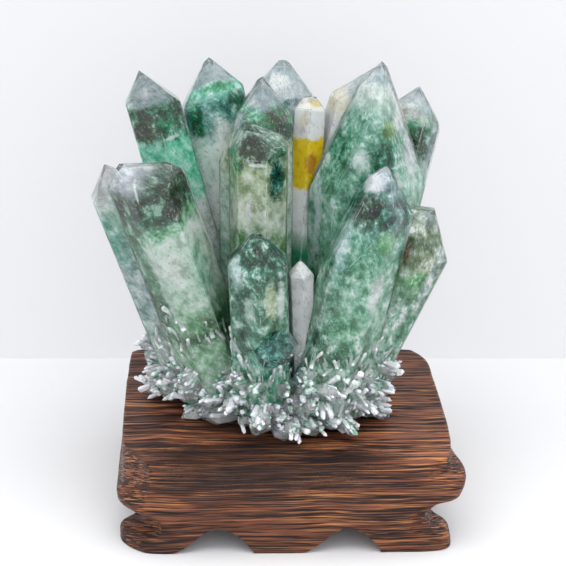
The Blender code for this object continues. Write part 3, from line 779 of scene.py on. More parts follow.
    Core(Crystal("facing", (-2, -8, 65), (-7, -32, 75), (13, 13, 13), 10,
                 (0, 0, 0, 0, 0, 0), 0.0, ((90, 85, -4),)),
         CoreFinish((Layer(0, (132, 170, 166), 0.9), Layer(3, (50, 94, 86), 1.0),
                     Layer(10, (42, 86, 76), 1.0), Layer(24, TEAL, 1.0)), (), 2.0), 1.0, 0.6),
    Core(Crystal("white_column", (6.5, -12, 46), (4.5, -8, 98), (6.5, 6.5, 6.5), 10, taper=-0.3),
         CoreFinish((Layer(0, (250, 252, 252), 1.0), Layer(50, FROST, 1.0)), (), 2.0, 0.1),
         0.6, 0.3),
    Core(Crystal("thin_right", (17, -9, 52), (38, -2, 116.5), (11, 11, 11), 10),
         CoreFinish((Layer(0, LILAC, 0.5), Layer(14, PALE, 0.8), Layer(70, MILKY, 0.9)), (), 3.0),
         2.0, 0.9),
    Core(Crystal("rear_one", (-22, 28, 48), (-38, 55, 112), (15, 14, 16), 12, taper=0.05),
         CoreFinish((Layer(0, LILAC, 0.3), Layer(8, LILAC, 0.4), Layer(11, MOSS_DARK, 0.95),
                     Layer(18, MOSS_DARK, 1.0), Layer(24, EMERALD, 1.0), Layer(40, JADE, 1.0),
                     Layer(66, PALE, 1.0)), (), 4.0)),
    Core(Crystal("rear_two", (-4, 30, 48), (-10, 57, 124), (17, 16, 17), 4,
                 (0, -1, 0, 0, 0, 1), 0.03),
         CoreFinish((Layer(0, LILAC, 0.3), Layer(10, LILAC, 0.5), Layer(14, TEAL, 0.95),
                     Layer(22, MOSS_DEEP, 1.0), Layer(30, MILKY, 1.0), Layer(52, EMERALD, 1.0),
                     Layer(80, PALE, 1.0)), (), 5.0)),
    Core(Crystal("rear_three", (14, 30, 48), (21, 56, 116), (15, 16, 15), 20,
                 (-1, 0, 0, 0, 1, 0), 0.04),
         CoreFinish((Layer(0, LILAC, 0.3), Layer(9, SLATE, 0.6), Layer(13, MOSS_DARK, 0.95),
                     Layer(21, TEAL, 1.0), Layer(34, JADE, 1.0), Layer(70, MILKY, 1.0)), (), 4.0)),
    Core(Crystal("rear_four", (26, 26, 48), (43, 52, 108), (14, 14, 13), 33, taper=0.05),
         CoreFinish((Layer(0, LILAC, 0.3), Layer(8, LILAC, 0.5), Layer(12, EMERALD, 0.95),
                     Layer(24, MOSS_DEEP, 1.0), Layer(32, MILKY, 1.0), Layer(64, PALE, 1.0)), (),
                    4.0)),
    Core(Crystal("rear_five", (-32, 20, 46), (-58, 40, 102), (12, 13, 12), 25, taper=0.05),
         CoreFinish((Layer(0, ROSE, 0.3), Layer(7, LILAC, 0.5), Layer(11, MOSS_DEEP, 0.95),
                     Layer(22, MILKY, 1.0), Layer(64, PALE, 1.0)), (), 4.0), 2.0, 1.2),
    Core(Crystal("rear_six", (1, 34, 44), (6, 58, 86), (11, 12, 11), 15, taper=0.06),
         CoreFinish((Layer(0, LILAC, 0.4), Layer(10, JADE, 0.9), Layer(44, PALE, 1.0)), (), 4.0),
         2.0, 1.0),
    Core(Crystal("rear_seven", (-14, 34, 44), (-23, 58, 80), (9, 10, 9), 40, taper=0.05),
         CoreFinish((Layer(0, LILAC, 0.4), Layer(9, EMERALD, 0.95), Layer(40, PALE, 1.0)), (),
                    4.0), 2.0, 1.0),
    Core(Crystal("rear_eight", (18, 34, 44), (31, 56, 80), (10, 10, 9), 8, taper=0.05),
         CoreFinish((Layer(0, LILAC, 0.4), Layer(9, TEAL, 0.95), Layer(40, PALE, 1.0)), (), 4.0),
         2.0, 1.0),
    Core(Crystal("pale_block", (-20, 2, 42), (-27, -15, 66), (11, 10, 11), 20),
         CoreFinish((Layer(0, PALE, 0.7), Layer(12, (188, 206, 190), 0.95),
                     Layer(30, MILKY, 1.0)), (), 3.0), 1.5, 0.6),
    Core(Crystal("teal_foot", (7, -6, 46), (6, -22, 61), (8, 8, 7), 30),
         CoreFinish((Layer(0, (170, 190, 190), 0.8), Layer(4, (92, 128, 128), 0.95),
                     Layer(10, (48, 90, 84), 1.0), Layer(22, TEAL, 1.0)), (), 2.0), 1.2, 0.6),
    Core(Crystal("clear_block", (13, -6, 43), (22, -24, 49), (8, 9, 8), 12),
         CoreFinish((Layer(0, FROST, 0.3), Layer(14, LILAC, 0.6), Layer(22, PALE, 0.8)), (), 2.0),
         1.5, 0.6),
)


@dataclass(frozen=True)
class Veils:
    """Milky veils, white grains and slanting cracks just under the skin of the large crystals."""

    depth: float = 0.45
    left_out: tuple[str, ...] = ("golden", "facing", "teal_foot", "front_middle", "middle_front")

    def build(self, place: Place) -> bpy.types.Object:
        """Build all veils as one piece."""
        edit = bmesh.new()
        for core in CORES:
            if core.crystal.name in self.left_out:
                continue
            corners = corners_of(core.crystal.planes(self.depth, 1.2 * self.depth))
            part = bmesh.new()
            hull_mesh(part, [place.metres(tuple(corner)) for corner in corners])
            core.mark_growth(part, place)
            add_part(edit, part)
        return finished_piece("milky_veils", edit, self.finish())

    def finish(self) -> bpy.types.Material:
        """White veils over some places, thicker round the point of each crystal."""
        sh = Shading("milky_veils")
        here = sh.add("ShaderNodeTexCoord").outputs["Object"]
        growth = sh.add("ShaderNodeAttribute", attribute_name="growth").outputs["Vector"]
        haze = use_group(sh, Effects.cloud(), {"Vector": here, "Scale": 110.0, "Low": 0.5,
                                               "High": 0.74, "Detail": 6.0})
        grains = use_group(sh, Effects.cloud(), {"Vector": here, "Scale": 1300.0, "Low": 0.58,
                                                 "High": 0.66, "Detail": 2.0})
        slanted = sh.add("ShaderNodeMapping", {"Vector": growth, "Rotation": (0.5, 0.6, 0.0),
                                               "Scale": (0.7, 0.7, 7.0)},
                         vector_type="TEXTURE").outputs[0]
        cracks = use_group(sh, Effects.cloud(), {"Vector": slanted, "Scale": 1.0, "Low": 0.63,
                                                 "High": 0.7, "Detail": 2.0})
        depth = sh.add("ShaderNodeSeparateXYZ", {0: growth}).outputs["Z"]
        upper = sh.add("ShaderNodeMapRange", {"Value": depth, "From Min": 5.0, "From Max": 13.0,
                                              "To Min": 0.05, "To Max": 0.0}).outputs["Result"]
        faint = sh.add("ShaderNodeMath", {0: haze, 1: 0.1, 2: upper},
                       operation="MULTIPLY_ADD").outputs[0]
        grainy = sh.add("ShaderNodeMath", {0: grains, 1: 0.1, 2: faint},
                        operation="MULTIPLY_ADD").outputs[0]
        cover = sh.add("ShaderNodeMath", {0: cracks, 1: 0.4, 2: grainy},
                       operation="MULTIPLY_ADD", use_clamp=True).outputs[0]
        shade = sh.add("ShaderNodeMix", {"Factor": haze, 6: beneath_quartz((222, 230, 238)),
                                         7: beneath_quartz((240, 244, 246))},
                       data_type="RGBA").outputs[2]
        sh.feed("Base Color", shade)
        sh.feed("Alpha", cover)
        sh.set(Roughness=0.4, IOR=1.05)
        return sh.material


@dataclass(frozen=True)
class BrightEdges:
    """Painted highlights along the crystals' edges: a thin frosted rod along each edge.

    radius is the rod's, inset how far it lies under the skin, both in millimetres.
    """

    name: str
    radius: float
    inset: float

    def tree(self, finish: bpy.types.Material) -> bpy.types.NodeTree:
        """Build a Geometry Nodes tree that lays a square rod along every edge.

        Args:
            finish: The rods' material.

        Returns:
            The node tree, with the radius as a named input.
        """
        tree = bpy.data.node_groups.new(self.name, "GeometryNodeTree")
        face = tree.interface
        face.new_socket("Geometry", in_out="INPUT", socket_type="NodeSocketGeometry")
        face.new_socket("Radius", in_out="INPUT", socket_type="NodeSocketFloat")
        face.new_socket("Geometry", in_out="OUTPUT", socket_type="NodeSocketGeometry")
        given = tree.nodes.new("NodeGroupInput").outputs
        out = tree.nodes.new("NodeGroupOutput")
        lines = add_node(tree, "GeometryNodeMeshToCurve", {"Mesh": given["Geometry"]})
        ring = add_node(tree, "GeometryNodeCurvePrimitiveCircle", {
            "Resolution": 4, "Radius": given["Radius"]})
        rods = add_node(tree, "GeometryNodeCurveToMesh", {
            "Curve": lines.outputs[0], "Profile Curve": ring.outputs[0], "Fill Caps": True})
        real = add_node(tree, "GeometryNodeRealizeInstances", {0: rods.outputs[0]})
        dressed = add_node(tree, "GeometryNodeSetMaterial", {
            "Geometry": real.outputs[0], "Material": finish})
        tree.links.new(dressed.outputs[0], out.inputs[0])
        return tree

    def build(self, place: Place, crystals: list[tuple[Crystal, list]]) -> bpy.types.Object:
        """Build the rods of some crystals as one piece.

        Args:
            place: Where millimetres lie in the frame.
            crystals: Crystals with the further planes that cut them.

        Returns:
            The piece.
        """
        edit = bmesh.new()
        for crystal, cuts in crystals:
            part = bmesh.new()
            corners = corners_of(crystal.planes(self.inset, 1.2 * self.inset) + cuts)
            hull_mesh(part, [place.metres(tuple(corner)) for corner in corners])
            bmesh.ops.dissolve_limit(part, angle_limit=math.radians(1.0), verts=part.verts,
                                     edges=part.edges)
            add_part(edit, part)
        mesh = bpy.data.meshes.new("edge_ground")
        edit.to_mesh(mesh)
        edit.free()
        ground = bpy.data.objects.new("edge_ground", mesh)
        bpy.context.scene.collection.objects.link(ground)
        return grown_piece(ground, self.tree(self.finish()), {"Radius": self.radius * MM},
                           self.name)

    def finish(self) -> bpy.types.Material:
        """Painted highlight: frosty white that comes and goes along the edges."""
        sh = Shading(self.name)
        here = sh.add("ShaderNodeTexCoord").outputs["Object"]
        # Painted highlight patches: the rods show only where this cloud is high.
        highlight_patches = use_group(sh, Effects.cloud(), {"Vector": here, "Scale": 140.0, "Low": 0.46,
                                               "High": 0.64, "Detail": 4.0})
        cover = sh.add("ShaderNodeMath", {0: highlight_patches, 1: 0.6}, operation="MULTIPLY").outputs[0]
        sh.feed("Alpha", cover)
        sh.set(Base_Color=(0.94, 0.96, 0.97, 1.0), Roughness=0.4)
        return sh.material


@dataclass(frozen=True)
class DruseRing:
    """One ring of small crystals round the rock, in the same terms as the solids."""

    rise: float
    lift: float
    count: int
    girth: tuple[float, float]
    proud: tuple[float, float]


@dataclass(frozen=True)
class FootRing:
    """Small crystals on the feet of the large ones at one height, as in the solids."""

    height: float
    lift: float
    count: int
    girth: tuple[float, float]
    proud: tuple[float, float]
    arc: tuple[float, float]


@dataclass(frozen=True)
class Druse:
    """The milky insides of the small crystals round the foot of the stone."""

    rings: tuple[DruseRing, ...] = (
        DruseRing(6, -0.05, 40, (4.5, 7.5), (8, 14)),
        DruseRing(16, 0.12, 34, (4.5, 7.5), (8, 13)),
        DruseRing(28, 0.35, 28, (4.5, 7.0), (7, 12)),
        DruseRing(42, 0.60, 18, (4.0, 6.5), (6, 11)),
        DruseRing(56, 0.85, 8, (3.5, 6.0), (5, 9)))
    feet: tuple[FootRing, ...] = (
        FootRing(42, -0.3, 18, (4.5, 6.5), (7, 11), (150, 385)),
        FootRing(48.5, 0.0, 17, (4.2, 6.2), (6, 10), (155, 375)),
        FootRing(55.5, 0.35, 13, (4.0, 6.0), (5, 8), (160, 350)))
    floor: float = 36.4
    longest: float = 17.0
    reach: float = 52.0
    inset: float = 0.5
    lowered: float = 1.2

    @staticmethod
    def inside(point: np.ndarray, planes: list, margin: float) -> bool:
        """Tell whether a point lies inside a crystal or within the margin outside it."""
        return all(normal @ point <= offset + margin for normal, offset in planes)

    def body(self, rng: random.Random, ring: DruseRing | FootRing) -> tuple:
        """Draw the size and form of one small crystal."""
        proud = rng.uniform(*ring.proud)
        girth = rng.uniform(*ring.girth)
        spin = rng.uniform(0, 60)
        widths = tuple(girth * rng.uniform(0.85, 1.1) for _ in range(3))
        caps = tuple(girth * rng.uniform(-0.12, 0.1) for _ in range(6))
        return proud, girth, spin, widths, caps

    def on_rock(self, blockers: list) -> list[Crystal]:
        """Return the small crystals that grow from the rock."""
        rng = random.Random(41)
        rock = RockHeart()
        found = []
        for ring in self.rings:
            for i in range(ring.count):
                turn = 2 * math.pi * (i + rng.uniform(-0.35, 0.35)) / ring.count
                rise = math.radians(ring.rise + rng.uniform(-5, 5))
                surface = rock.outside(turn, rise)
                out = surface - np.array([rock.middle[0], rock.middle[1], rock.bottom])
                out /= np.linalg.norm(out)
                out += np.array([rng.uniform(-0.45, 0.45), rng.uniform(-0.45, 0.45),
                                 ring.lift + rng.uniform(-0.25, 0.25)])
                out /= np.linalg.norm(out)
                proud, girth, spin, widths, caps = self.body(rng, ring)
                while proud < self.longest and any(
                        self.inside(surface + out * proud, planes, 1.0) for planes in blockers):
                    proud += 2.0
                if proud < self.longest:
                    found.append(Crystal("druse", tuple(surface - out * (girth * 0.9 + 3)),
                                         tuple(surface + out * proud), widths, spin, caps, 0.08))
        return found

    def on_feet(self, blockers: list) -> list[Crystal]:
        """Return the small crystals that climb the feet of the large ones."""
        rng = random.Random(17)
        rock = RockHeart()
        found = []
        for ring in self.feet:
            for i in range(ring.count):
                part = (i + rng.uniform(-0.3, 0.3)) / ring.count
                turn = math.radians(ring.arc[0] + (ring.arc[1] - ring.arc[0]) * part)
                height = ring.height + rng.uniform(-2.0, 2.0)
                level = np.array([math.cos(turn), math.sin(turn), 0.0])
                out = level + np.array([rng.uniform(-0.4, 0.4), rng.uniform(-0.4, 0.4),
                                        ring.lift + rng.uniform(-0.3, 0.3)])
                out /= np.linalg.norm(out)
                proud, _, spin, widths, caps = self.body(rng, ring)
                centre = np.array([rock.middle[0], rock.middle[1], height])
                reach = self.reach
                while reach > 0 and not any(
                        self.inside(centre + level * reach, planes, 0.0) for planes in blockers):
                    reach -= 0.5
                if reach > 0:
                    surface = centre + level * reach
                    found.append(Crystal("foot", tuple(surface - out * 4.0),
                                         tuple(surface + out * proud), widths, spin, caps, 0.08))
        return found

    def crystals(self) -> list[tuple[Crystal, list]]:
        """Return all small crystals, each with the plane of the stand's top that ends it."""
        blockers = [core.crystal.planes(0.0, 0.0) for core in CORES]
        ground = [(np.array([0.0, 0.0, -1.0]), -self.floor)]
        return [(small, ground) for small in self.on_rock(blockers) + self.on_feet(blockers)]

    def build(self, place: Place, crystals: list[tuple[Crystal, list]]) -> bpy.types.Object:
        """Build the insides of all small crystals as one piece."""
        edit = bmesh.new()
        for small, ground in crystals:
            part = bmesh.new()
            corners = corners_of(small.planes(self.inset, self.lowered) + ground)
            hull_mesh(part, [place.metres(tuple(corner)) for corner in corners])
            Core(small, CORES[0].finish).mark_growth(part, place)
            add_part(edit, part)
        return finished_piece("druse_cores", edit, self.finish())

    def finish(self) -> bpy.types.Material:
        """White and lilac quartz, clear at the tips, with green between and dark gaps."""
        sh = Shading("druse_cores")
        here = sh.add("ShaderNodeTexCoord").outputs["Object"]
        growth = sh.add("ShaderNodeAttribute", attribute_name="growth").outputs["Vector"]
        moved = sh.add("ShaderNodeVectorMath", {0: here, 1: (700.0, 700.0, 700.0), 2: growth},
                       operation="MULTIPLY_ADD").outputs[0]
        tone = use_group(sh, Effects.fibres(), {"Vector": moved, "Slant": (0.2, 0.2, 0.0),
                                                "Size": 0.8})
        depth = sh.add("ShaderNodeSeparateXYZ", {0: growth}).outputs["Z"]
        green = use_group(sh, Effects.cloud(), {"Vector": here, "Scale": 110.0, "Low": 0.5,
                                                "High": 0.62, "Detail": 5.0})
        low = sh.add("ShaderNodeMapRange", {"Value": depth, "From Min": 3.0, "From Max": 11.0})
        milk = sh.add("ShaderNodeMix", {"Factor": low.outputs["Result"],
                                        6: beneath_quartz((236, 240, 246)),
                                        7: beneath_quartz((196, 212, 208))},
                      data_type="RGBA").outputs[2]
        leafy = sh.add("ShaderNodeMix", {"Factor": green, 6: milk,
                                         7: beneath_quartz((96, 148, 120))},
                       data_type="RGBA").outputs[2]
        light = sh.add("ShaderNodeMapRange", {"Value": tone, "From Min": 0.5, "From Max": 0.58,
                                              "To Max": 0.8}).outputs["Result"]
        pale = sh.add("ShaderNodeMix", {"Factor": light, 6: leafy, 7: beneath_quartz(FROST)},
                      data_type="RGBA").outputs[2]
        shade = sh.add("ShaderNodeMapRange", {"Value": tone, "From Min": 0.5, "From Max": 0.4,
                                              "To Min": 0.8, "To Max": 1.8}).outputs["Result"]
        sh.feed("Base Color", sh.add("ShaderNodeGamma", {"Color": pale, "Gamma": shade}
                                     ).outputs[0])
        thick = sh.add("ShaderNodeMapRange", {"Value": depth, "From Min": 2.0, "From Max": 5.0,
                                              "To Min": 0.35, "To Max": 1.0})
        sh.feed("Alpha", thick.outputs["Result"])
        bump = sh.add("ShaderNodeBump", {"Height": tone, "Strength": 0.7, "Distance": 0.003})
        sh.feed("Normal", bump.outputs["Normal"])
        sh.set(Roughness=0.35, IOR=1.3)
        return sh.material


@dataclass(frozen=True)
class QuartzSkin:
    """The clear outer quartz, worn by the fused solid itself."""

    roughness: float = 0.03
    density: float = 6.0
    tint: Colour = (206, 224, 220)

    def dress(self) -> None:
        """Give the solid of the stone its clear finish."""
        sh = Shading("clear_quartz")
        here = sh.add("ShaderNodeTexCoord").outputs["Object"]
        etched = sh.add("ShaderNodeTexNoise", {"Vector": here, "Scale": 420.0, "Detail": 4.0,
                                               "Roughness": 0.6}).outputs["Fac"]
        bump = sh.add("ShaderNodeBump", {"Height": etched, "Strength": 0.12, "Distance": 0.0004})
        sh.feed("Normal", bump.outputs["Normal"])
        dull = use_group(sh, Effects.cloud(), {"Vector": here, "Scale": 180.0, "Low": 0.52,
                                               "High": 0.72, "Detail": 5.0})
        rough = sh.add("ShaderNodeMath", {0: dull, 1: 0.1, 2: self.roughness},
                       operation="MULTIPLY_ADD").outputs[0]
        sh.feed("Roughness", rough)
        sh.set(Base_Color=(0.97, 0.985, 0.98, 1.0), IOR=QUARTZ_IOR, Transmission_Weight=1.0)
        absorb = sh.add("ShaderNodeVolumeAbsorption", {"Color": linear(self.tint),
                                                       "Density": self.density})
        out = next(n for n in sh.tree.nodes if n.type == "OUTPUT_MATERIAL")
        sh.tree.links.new(absorb.outputs["Volume"], out.inputs["Volume"])
        stone = bpy.data.objects["quartz_cluster"]
        stone.data.materials.clear()
        stone.data.materials.append(sh.material)
        LOG.info("clear quartz on %s", stone.name)


@dataclass(frozen=True)
class RockHeart:
    """The dull rock inside the foot of the stone, seen through the small crystals."""

    middle: tuple[float, float] = (-3.0, 12.0)
    reach: tuple[float, ...] = (35, 38, 33, 29, 33, 40, 39, 33, 27, 29, 32, 35)
    height: float = 30.0
    bottom: float = 35.8
    inset: float = 2.6

    def outside(self, turn: float, rise: float, inset: float = 0.0) -> np.ndarray:
        """Return a point of the rock's dome, or inside it, by direction and height angle."""
        step = math.degrees(turn) % 360 / 30
        low = int(step) % 12
        part = step - int(step)
        reach = self.reach[low] * (1 - part) + self.reach[(low + 1) % 12] * part - inset
        return np.array([self.middle[0] + reach * math.cos(rise) * math.cos(turn),
                         self.middle[1] + reach * math.cos(rise) * math.sin(turn),
                         self.bottom + (self.height - inset) * math.sin(rise)])

    def build(self, place: Place) -> bpy.types.Object:
        """Build the heart of the rock."""
        rng = random.Random(12)
        rises, count = (0, 12, 26, 42, 60), 36
        edit = bmesh.new()
        rings = []
        for rise in rises:
            ring = []
            for i in range(count):
                point = self.outside(2 * math.pi * i / count, math.radians(rise),
                                     self.inset + rng.uniform(0.0, 0.8))
                point[2] = max(point[2], self.bottom + 0.8)
                ring.append(edit.verts.new(place.metres(tuple(point))))
            rings.append(ring)
        for low, high in zip(rings, rings[1:]):
            for i in range(count):
                j = (i + 1) % count
                edit.faces.new((low[i], low[j], high[j], high[i]))
        edit.faces.new(list(reversed(rings[0])))
        edit.faces.new(rings[-1])
        return finished_piece("rock_heart", edit, self.finish())

    def finish(self) -> bpy.types.Material:
        """Mottled green, white and dark rock."""
        sh = Shading("rock_heart")
        here = sh.add("ShaderNodeTexCoord").outputs["Object"]
        green = use_group(sh, Effects.cloud(), {"Vector": here, "Scale": 120.0, "Low": 0.42,
                                                "High": 0.6, "Detail": 6.0})
        dark = use_group(sh, Effects.cloud(), {"Vector": here, "Scale": 260.0, "Low": 0.55,
                                               "High": 0.7, "Detail": 6.0})
        first = sh.add("ShaderNodeMix", {"Factor": green, 6: beneath_quartz((206, 216, 212)),
                                         7: beneath_quartz((108, 154, 128))},
                       data_type="RGBA").outputs[2]
        second = sh.add("ShaderNodeMix", {"Factor": dark, 6: first,
                                          7: beneath_quartz((44, 84, 68))},
                        data_type="RGBA").outputs[2]
        sh.feed("Base Color", second)
        bump = sh.add("ShaderNodeBump", {"Height": dark, "Strength": 0.8, "Distance": 0.001})
        sh.feed("Normal", bump.outputs["Normal"])
        sh.set(Roughness=0.8)
        return sh.material


class Gloss(Enum):
    """How clear a scattered quartz crumb is: transmission weight and roughness."""

    CLEAR = (0.3, 0.16)
    CLOUDY = (0.2, 0.25)


def quartz_crumb_finish(name: str, colour: Colour, gloss: Gloss) -> bpy.types.Material:
    """Finish of small scattered quartz."""
    sh = Shading(name)
    here = sh.add("ShaderNodeTexCoord").outputs["Object"]
    cloud = use_group(sh, Effects.cloud(), {"Vector": here, "Scale": 300.0, "Low": 0.4,
                                            "High": 0.65, "Detail": 5.0})
    shade = sh.add("ShaderNodeMix", {"Factor": cloud, 6: linear(colour),
                                     7: linear((250, 250, 252))}, data_type="RGBA").outputs[2]
    sh.feed("Base Color", shade)
    sh.set(Transmission_Weight=gloss.value[0], Roughness=gloss.value[1], IOR=QUARTZ_IOR)
    return sh.material


@dataclass(frozen=True)
class Scatter:
    """A Geometry Nodes tree that sets seeds on a surface and stands crumbs on them.

    density is in crumbs per square metre, smallest and largest scale them, lean is how far they
    tilt in radians, follow names the attribute whose direction they take, if not the normal, and
    top is the height in metres above which no crumb stands, less a ragged four centimetres.
    """

    name: str
    density: float
    smallest: float
    largest: float
    lean: float
    seed: int
    follow: str = ""
    top: float = 1.0

    def tree(self, crumbs: bpy.types.Collection, finish: bpy.types.Material) -> bpy.types.NodeTree:
        """Build the tree.

        Args:
            crumbs: The collection that holds the shapes.
            finish: The material set on all of them.

        Returns:
            The node tree, with its sizes as named inputs.
        """
        tree = bpy.data.node_groups.new(self.name, "GeometryNodeTree")
        face = tree.interface
        face.new_socket("Geometry", in_out="INPUT", socket_type="NodeSocketGeometry")
        for label in ("Density", "Smallest", "Largest", "Lean", "Top"):
            face.new_socket(label, in_out="INPUT", socket_type="NodeSocketFloat")
        face.new_socket("Seed", in_out="INPUT", socket_type="NodeSocketInt")
        face.new_socket("Geometry", in_out="OUTPUT", socket_type="NodeSocketGeometry")
        given = tree.nodes.new("NodeGroupInput").outputs
        out = tree.nodes.new("NodeGroupOutput")
        seeds = add_node(tree, "GeometryNodeDistributePointsOnFaces", {
            "Mesh": given["Geometry"], "Density": given["Density"], "Seed": given["Seed"]})
        spot = tree.nodes.new("GeometryNodeInputPosition").outputs[0]
        height = add_node(tree, "ShaderNodeSeparateXYZ", {0: spot}).outputs["Z"]
        torn = add_node(tree, "ShaderNodeTexNoise", {"Vector": spot, "Scale": 60.0})
        raised = add_node(tree, "ShaderNodeMath", {0: torn.outputs["Fac"], 1: 0.08, 2: height},
                          operation="MULTIPLY_ADD")
        above = add_node(tree, "ShaderNodeMath", {0: raised.outputs[0], 1: given["Top"]},
                         operation="GREATER_THAN")
        kept = add_node(tree, "GeometryNodeDeleteGeometry", {
            "Geometry": seeds.outputs["Points"], "Selection": above.outputs[0]}, domain="POINT")
        flipped = add_node(tree, "ShaderNodeMath", {0: given["Lean"], 1: -1.0},
                           operation="MULTIPLY")
        low = add_node(tree, "ShaderNodeCombineXYZ", {
            "X": flipped.outputs[0], "Y": flipped.outputs[0], "Z": -math.pi})
        high = add_node(tree, "ShaderNodeCombineXYZ", {
            "X": given["Lean"], "Y": given["Lean"], "Z": math.pi})
        tilt = add_node(tree, "FunctionNodeRandomValue", {
            0: low.outputs[0], 1: high.outputs[0], "Seed": given["Seed"]},
            data_type="FLOAT_VECTOR")
        turned = add_node(tree, "FunctionNodeEulerToRotation", {0: tilt.outputs[0]})
        upright = seeds.outputs["Rotation"]
        if self.follow:
            along = add_node(tree, "GeometryNodeInputNamedAttribute", {"Name": self.follow},
                             data_type="FLOAT_VECTOR")
            upright = add_node(tree, "FunctionNodeAlignRotationToVector", {
                "Vector": along.outputs[0]}, axis="Z").outputs[0]
        stand = add_node(tree, "FunctionNodeRotateRotation", {
            "Rotation": upright, "Rotate By": turned.outputs[0]}, rotation_space="LOCAL")
        size = add_node(tree, "FunctionNodeRandomValue", {
            2: given["Smallest"], 3: given["Largest"], "Seed": given["Seed"]}, data_type="FLOAT")
        shapes = add_node(tree, "GeometryNodeCollectionInfo", {
            "Collection": crumbs, "Separate Children": True, "Reset Children": True})
        placed = add_node(tree, "GeometryNodeInstanceOnPoints", {
            "Points": kept.outputs[0], "Instance": shapes.outputs[0],
            "Pick Instance": True, "Rotation": stand.outputs[0], "Scale": size.outputs[1]})
        real = add_node(tree, "GeometryNodeRealizeInstances", {0: placed.outputs[0]})
        dressed = add_node(tree, "GeometryNodeSetMaterial", {
            "Geometry": real.outputs[0], "Material": finish})
        tree.links.new(dressed.outputs[0], out.inputs[0])
        return tree

    def grow(self, ground: bpy.types.Object, crumbs: bpy.types.Collection,
             finish: bpy.types.Material, slot: str) -> bpy.types.Object:
        """Scatter the crumbs over a ground object and keep the result as a piece.

        Args:
            ground: The surface, which is removed afterwards.
            crumbs: The collection that holds the shapes.
            finish: Their material.
            slot: The record's material slot; not used.

        Returns:
            The piece.
        """
        sizes = {"Density": self.density, "Smallest": self.smallest, "Largest": self.largest,
                 "Lean": self.lean, "Seed": self.seed, "Top": self.top}
        return grown_piece(ground, self.tree(crumbs, finish), sizes, self.name)


def grown_piece(ground: bpy.types.Object, tree: bpy.types.NodeTree, sizes: dict, name: str) -> bpy.types.Object:
    """Run a Geometry Nodes tree on a ground object and keep the result as a plain piece.

    Args:
        ground: The object the tree works on, which is removed afterwards.
        tree: The tree.
        sizes: Its named inputs and their values.
        name: The piece's name.

    Returns:
        The piece, riding on the one body.
    """
    step = ground.modifiers.new(name, "NODES")
    step.node_group = tree
    for item in tree.interface.items_tree:
        if item.in_out == "INPUT" and item.name in sizes:
            step[item.identifier] = sizes[item.name]
    graph = bpy.context.evaluated_depsgraph_get()
    mesh = bpy.data.meshes.new_from_object(ground.evaluated_get(graph))
    ground.modifiers.clear()
    bpy.data.objects.remove(ground, do_unlink=True)
    mesh.name = name
    piece = bpy.data.objects.new(name, mesh)
    bpy.context.scene.collection.objects.link(piece)
    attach(piece, BODY)
    LOG.info("%s: %d faces", name, len(mesh.polygons))
    return piece


def shape_store(name: str, shapes: list[list[Vector]]) -> bpy.types.Collection:
    """Keep small closed hulls in a collection that isn't shown by itself."""
    store = bpy.data.collections.new(name)
    for index, corners in enumerate(shapes):
        edit = bmesh.new()
        hull_mesh(edit, corners)
        bmesh.ops.recalc_face_normals(edit, faces=edit.faces)
        mesh = bpy.data.meshes.new(f"{name}_{index}")
        edit.to_mesh(mesh)
        edit.free()
        store.objects.link(bpy.data.objects.new(f"{name}_{index}", mesh))
    return store


def joined_ground(cores: list[bpy.types.Object]) -> bpy.types.Object:
    """Join copies of the core surfaces that crumbs or needles stand on."""
    edit = bmesh.new()
    for core in cores:
        edit.from_mesh(core.data)
    mesh = bpy.data.meshes.new("core_ground")
    edit.to_mesh(mesh)
    edit.free()
    ground = bpy.data.objects.new("core_ground", mesh)
    bpy.context.scene.collection.objects.link(ground)
    return ground


def drop_store(store: bpy.types.Collection) -> None:
    """Remove a collection of shapes once it has been used."""
    for item in list(store.objects):
        bpy.data.objects.remove(item, do_unlink=True)
    bpy.data.collections.remove(store)


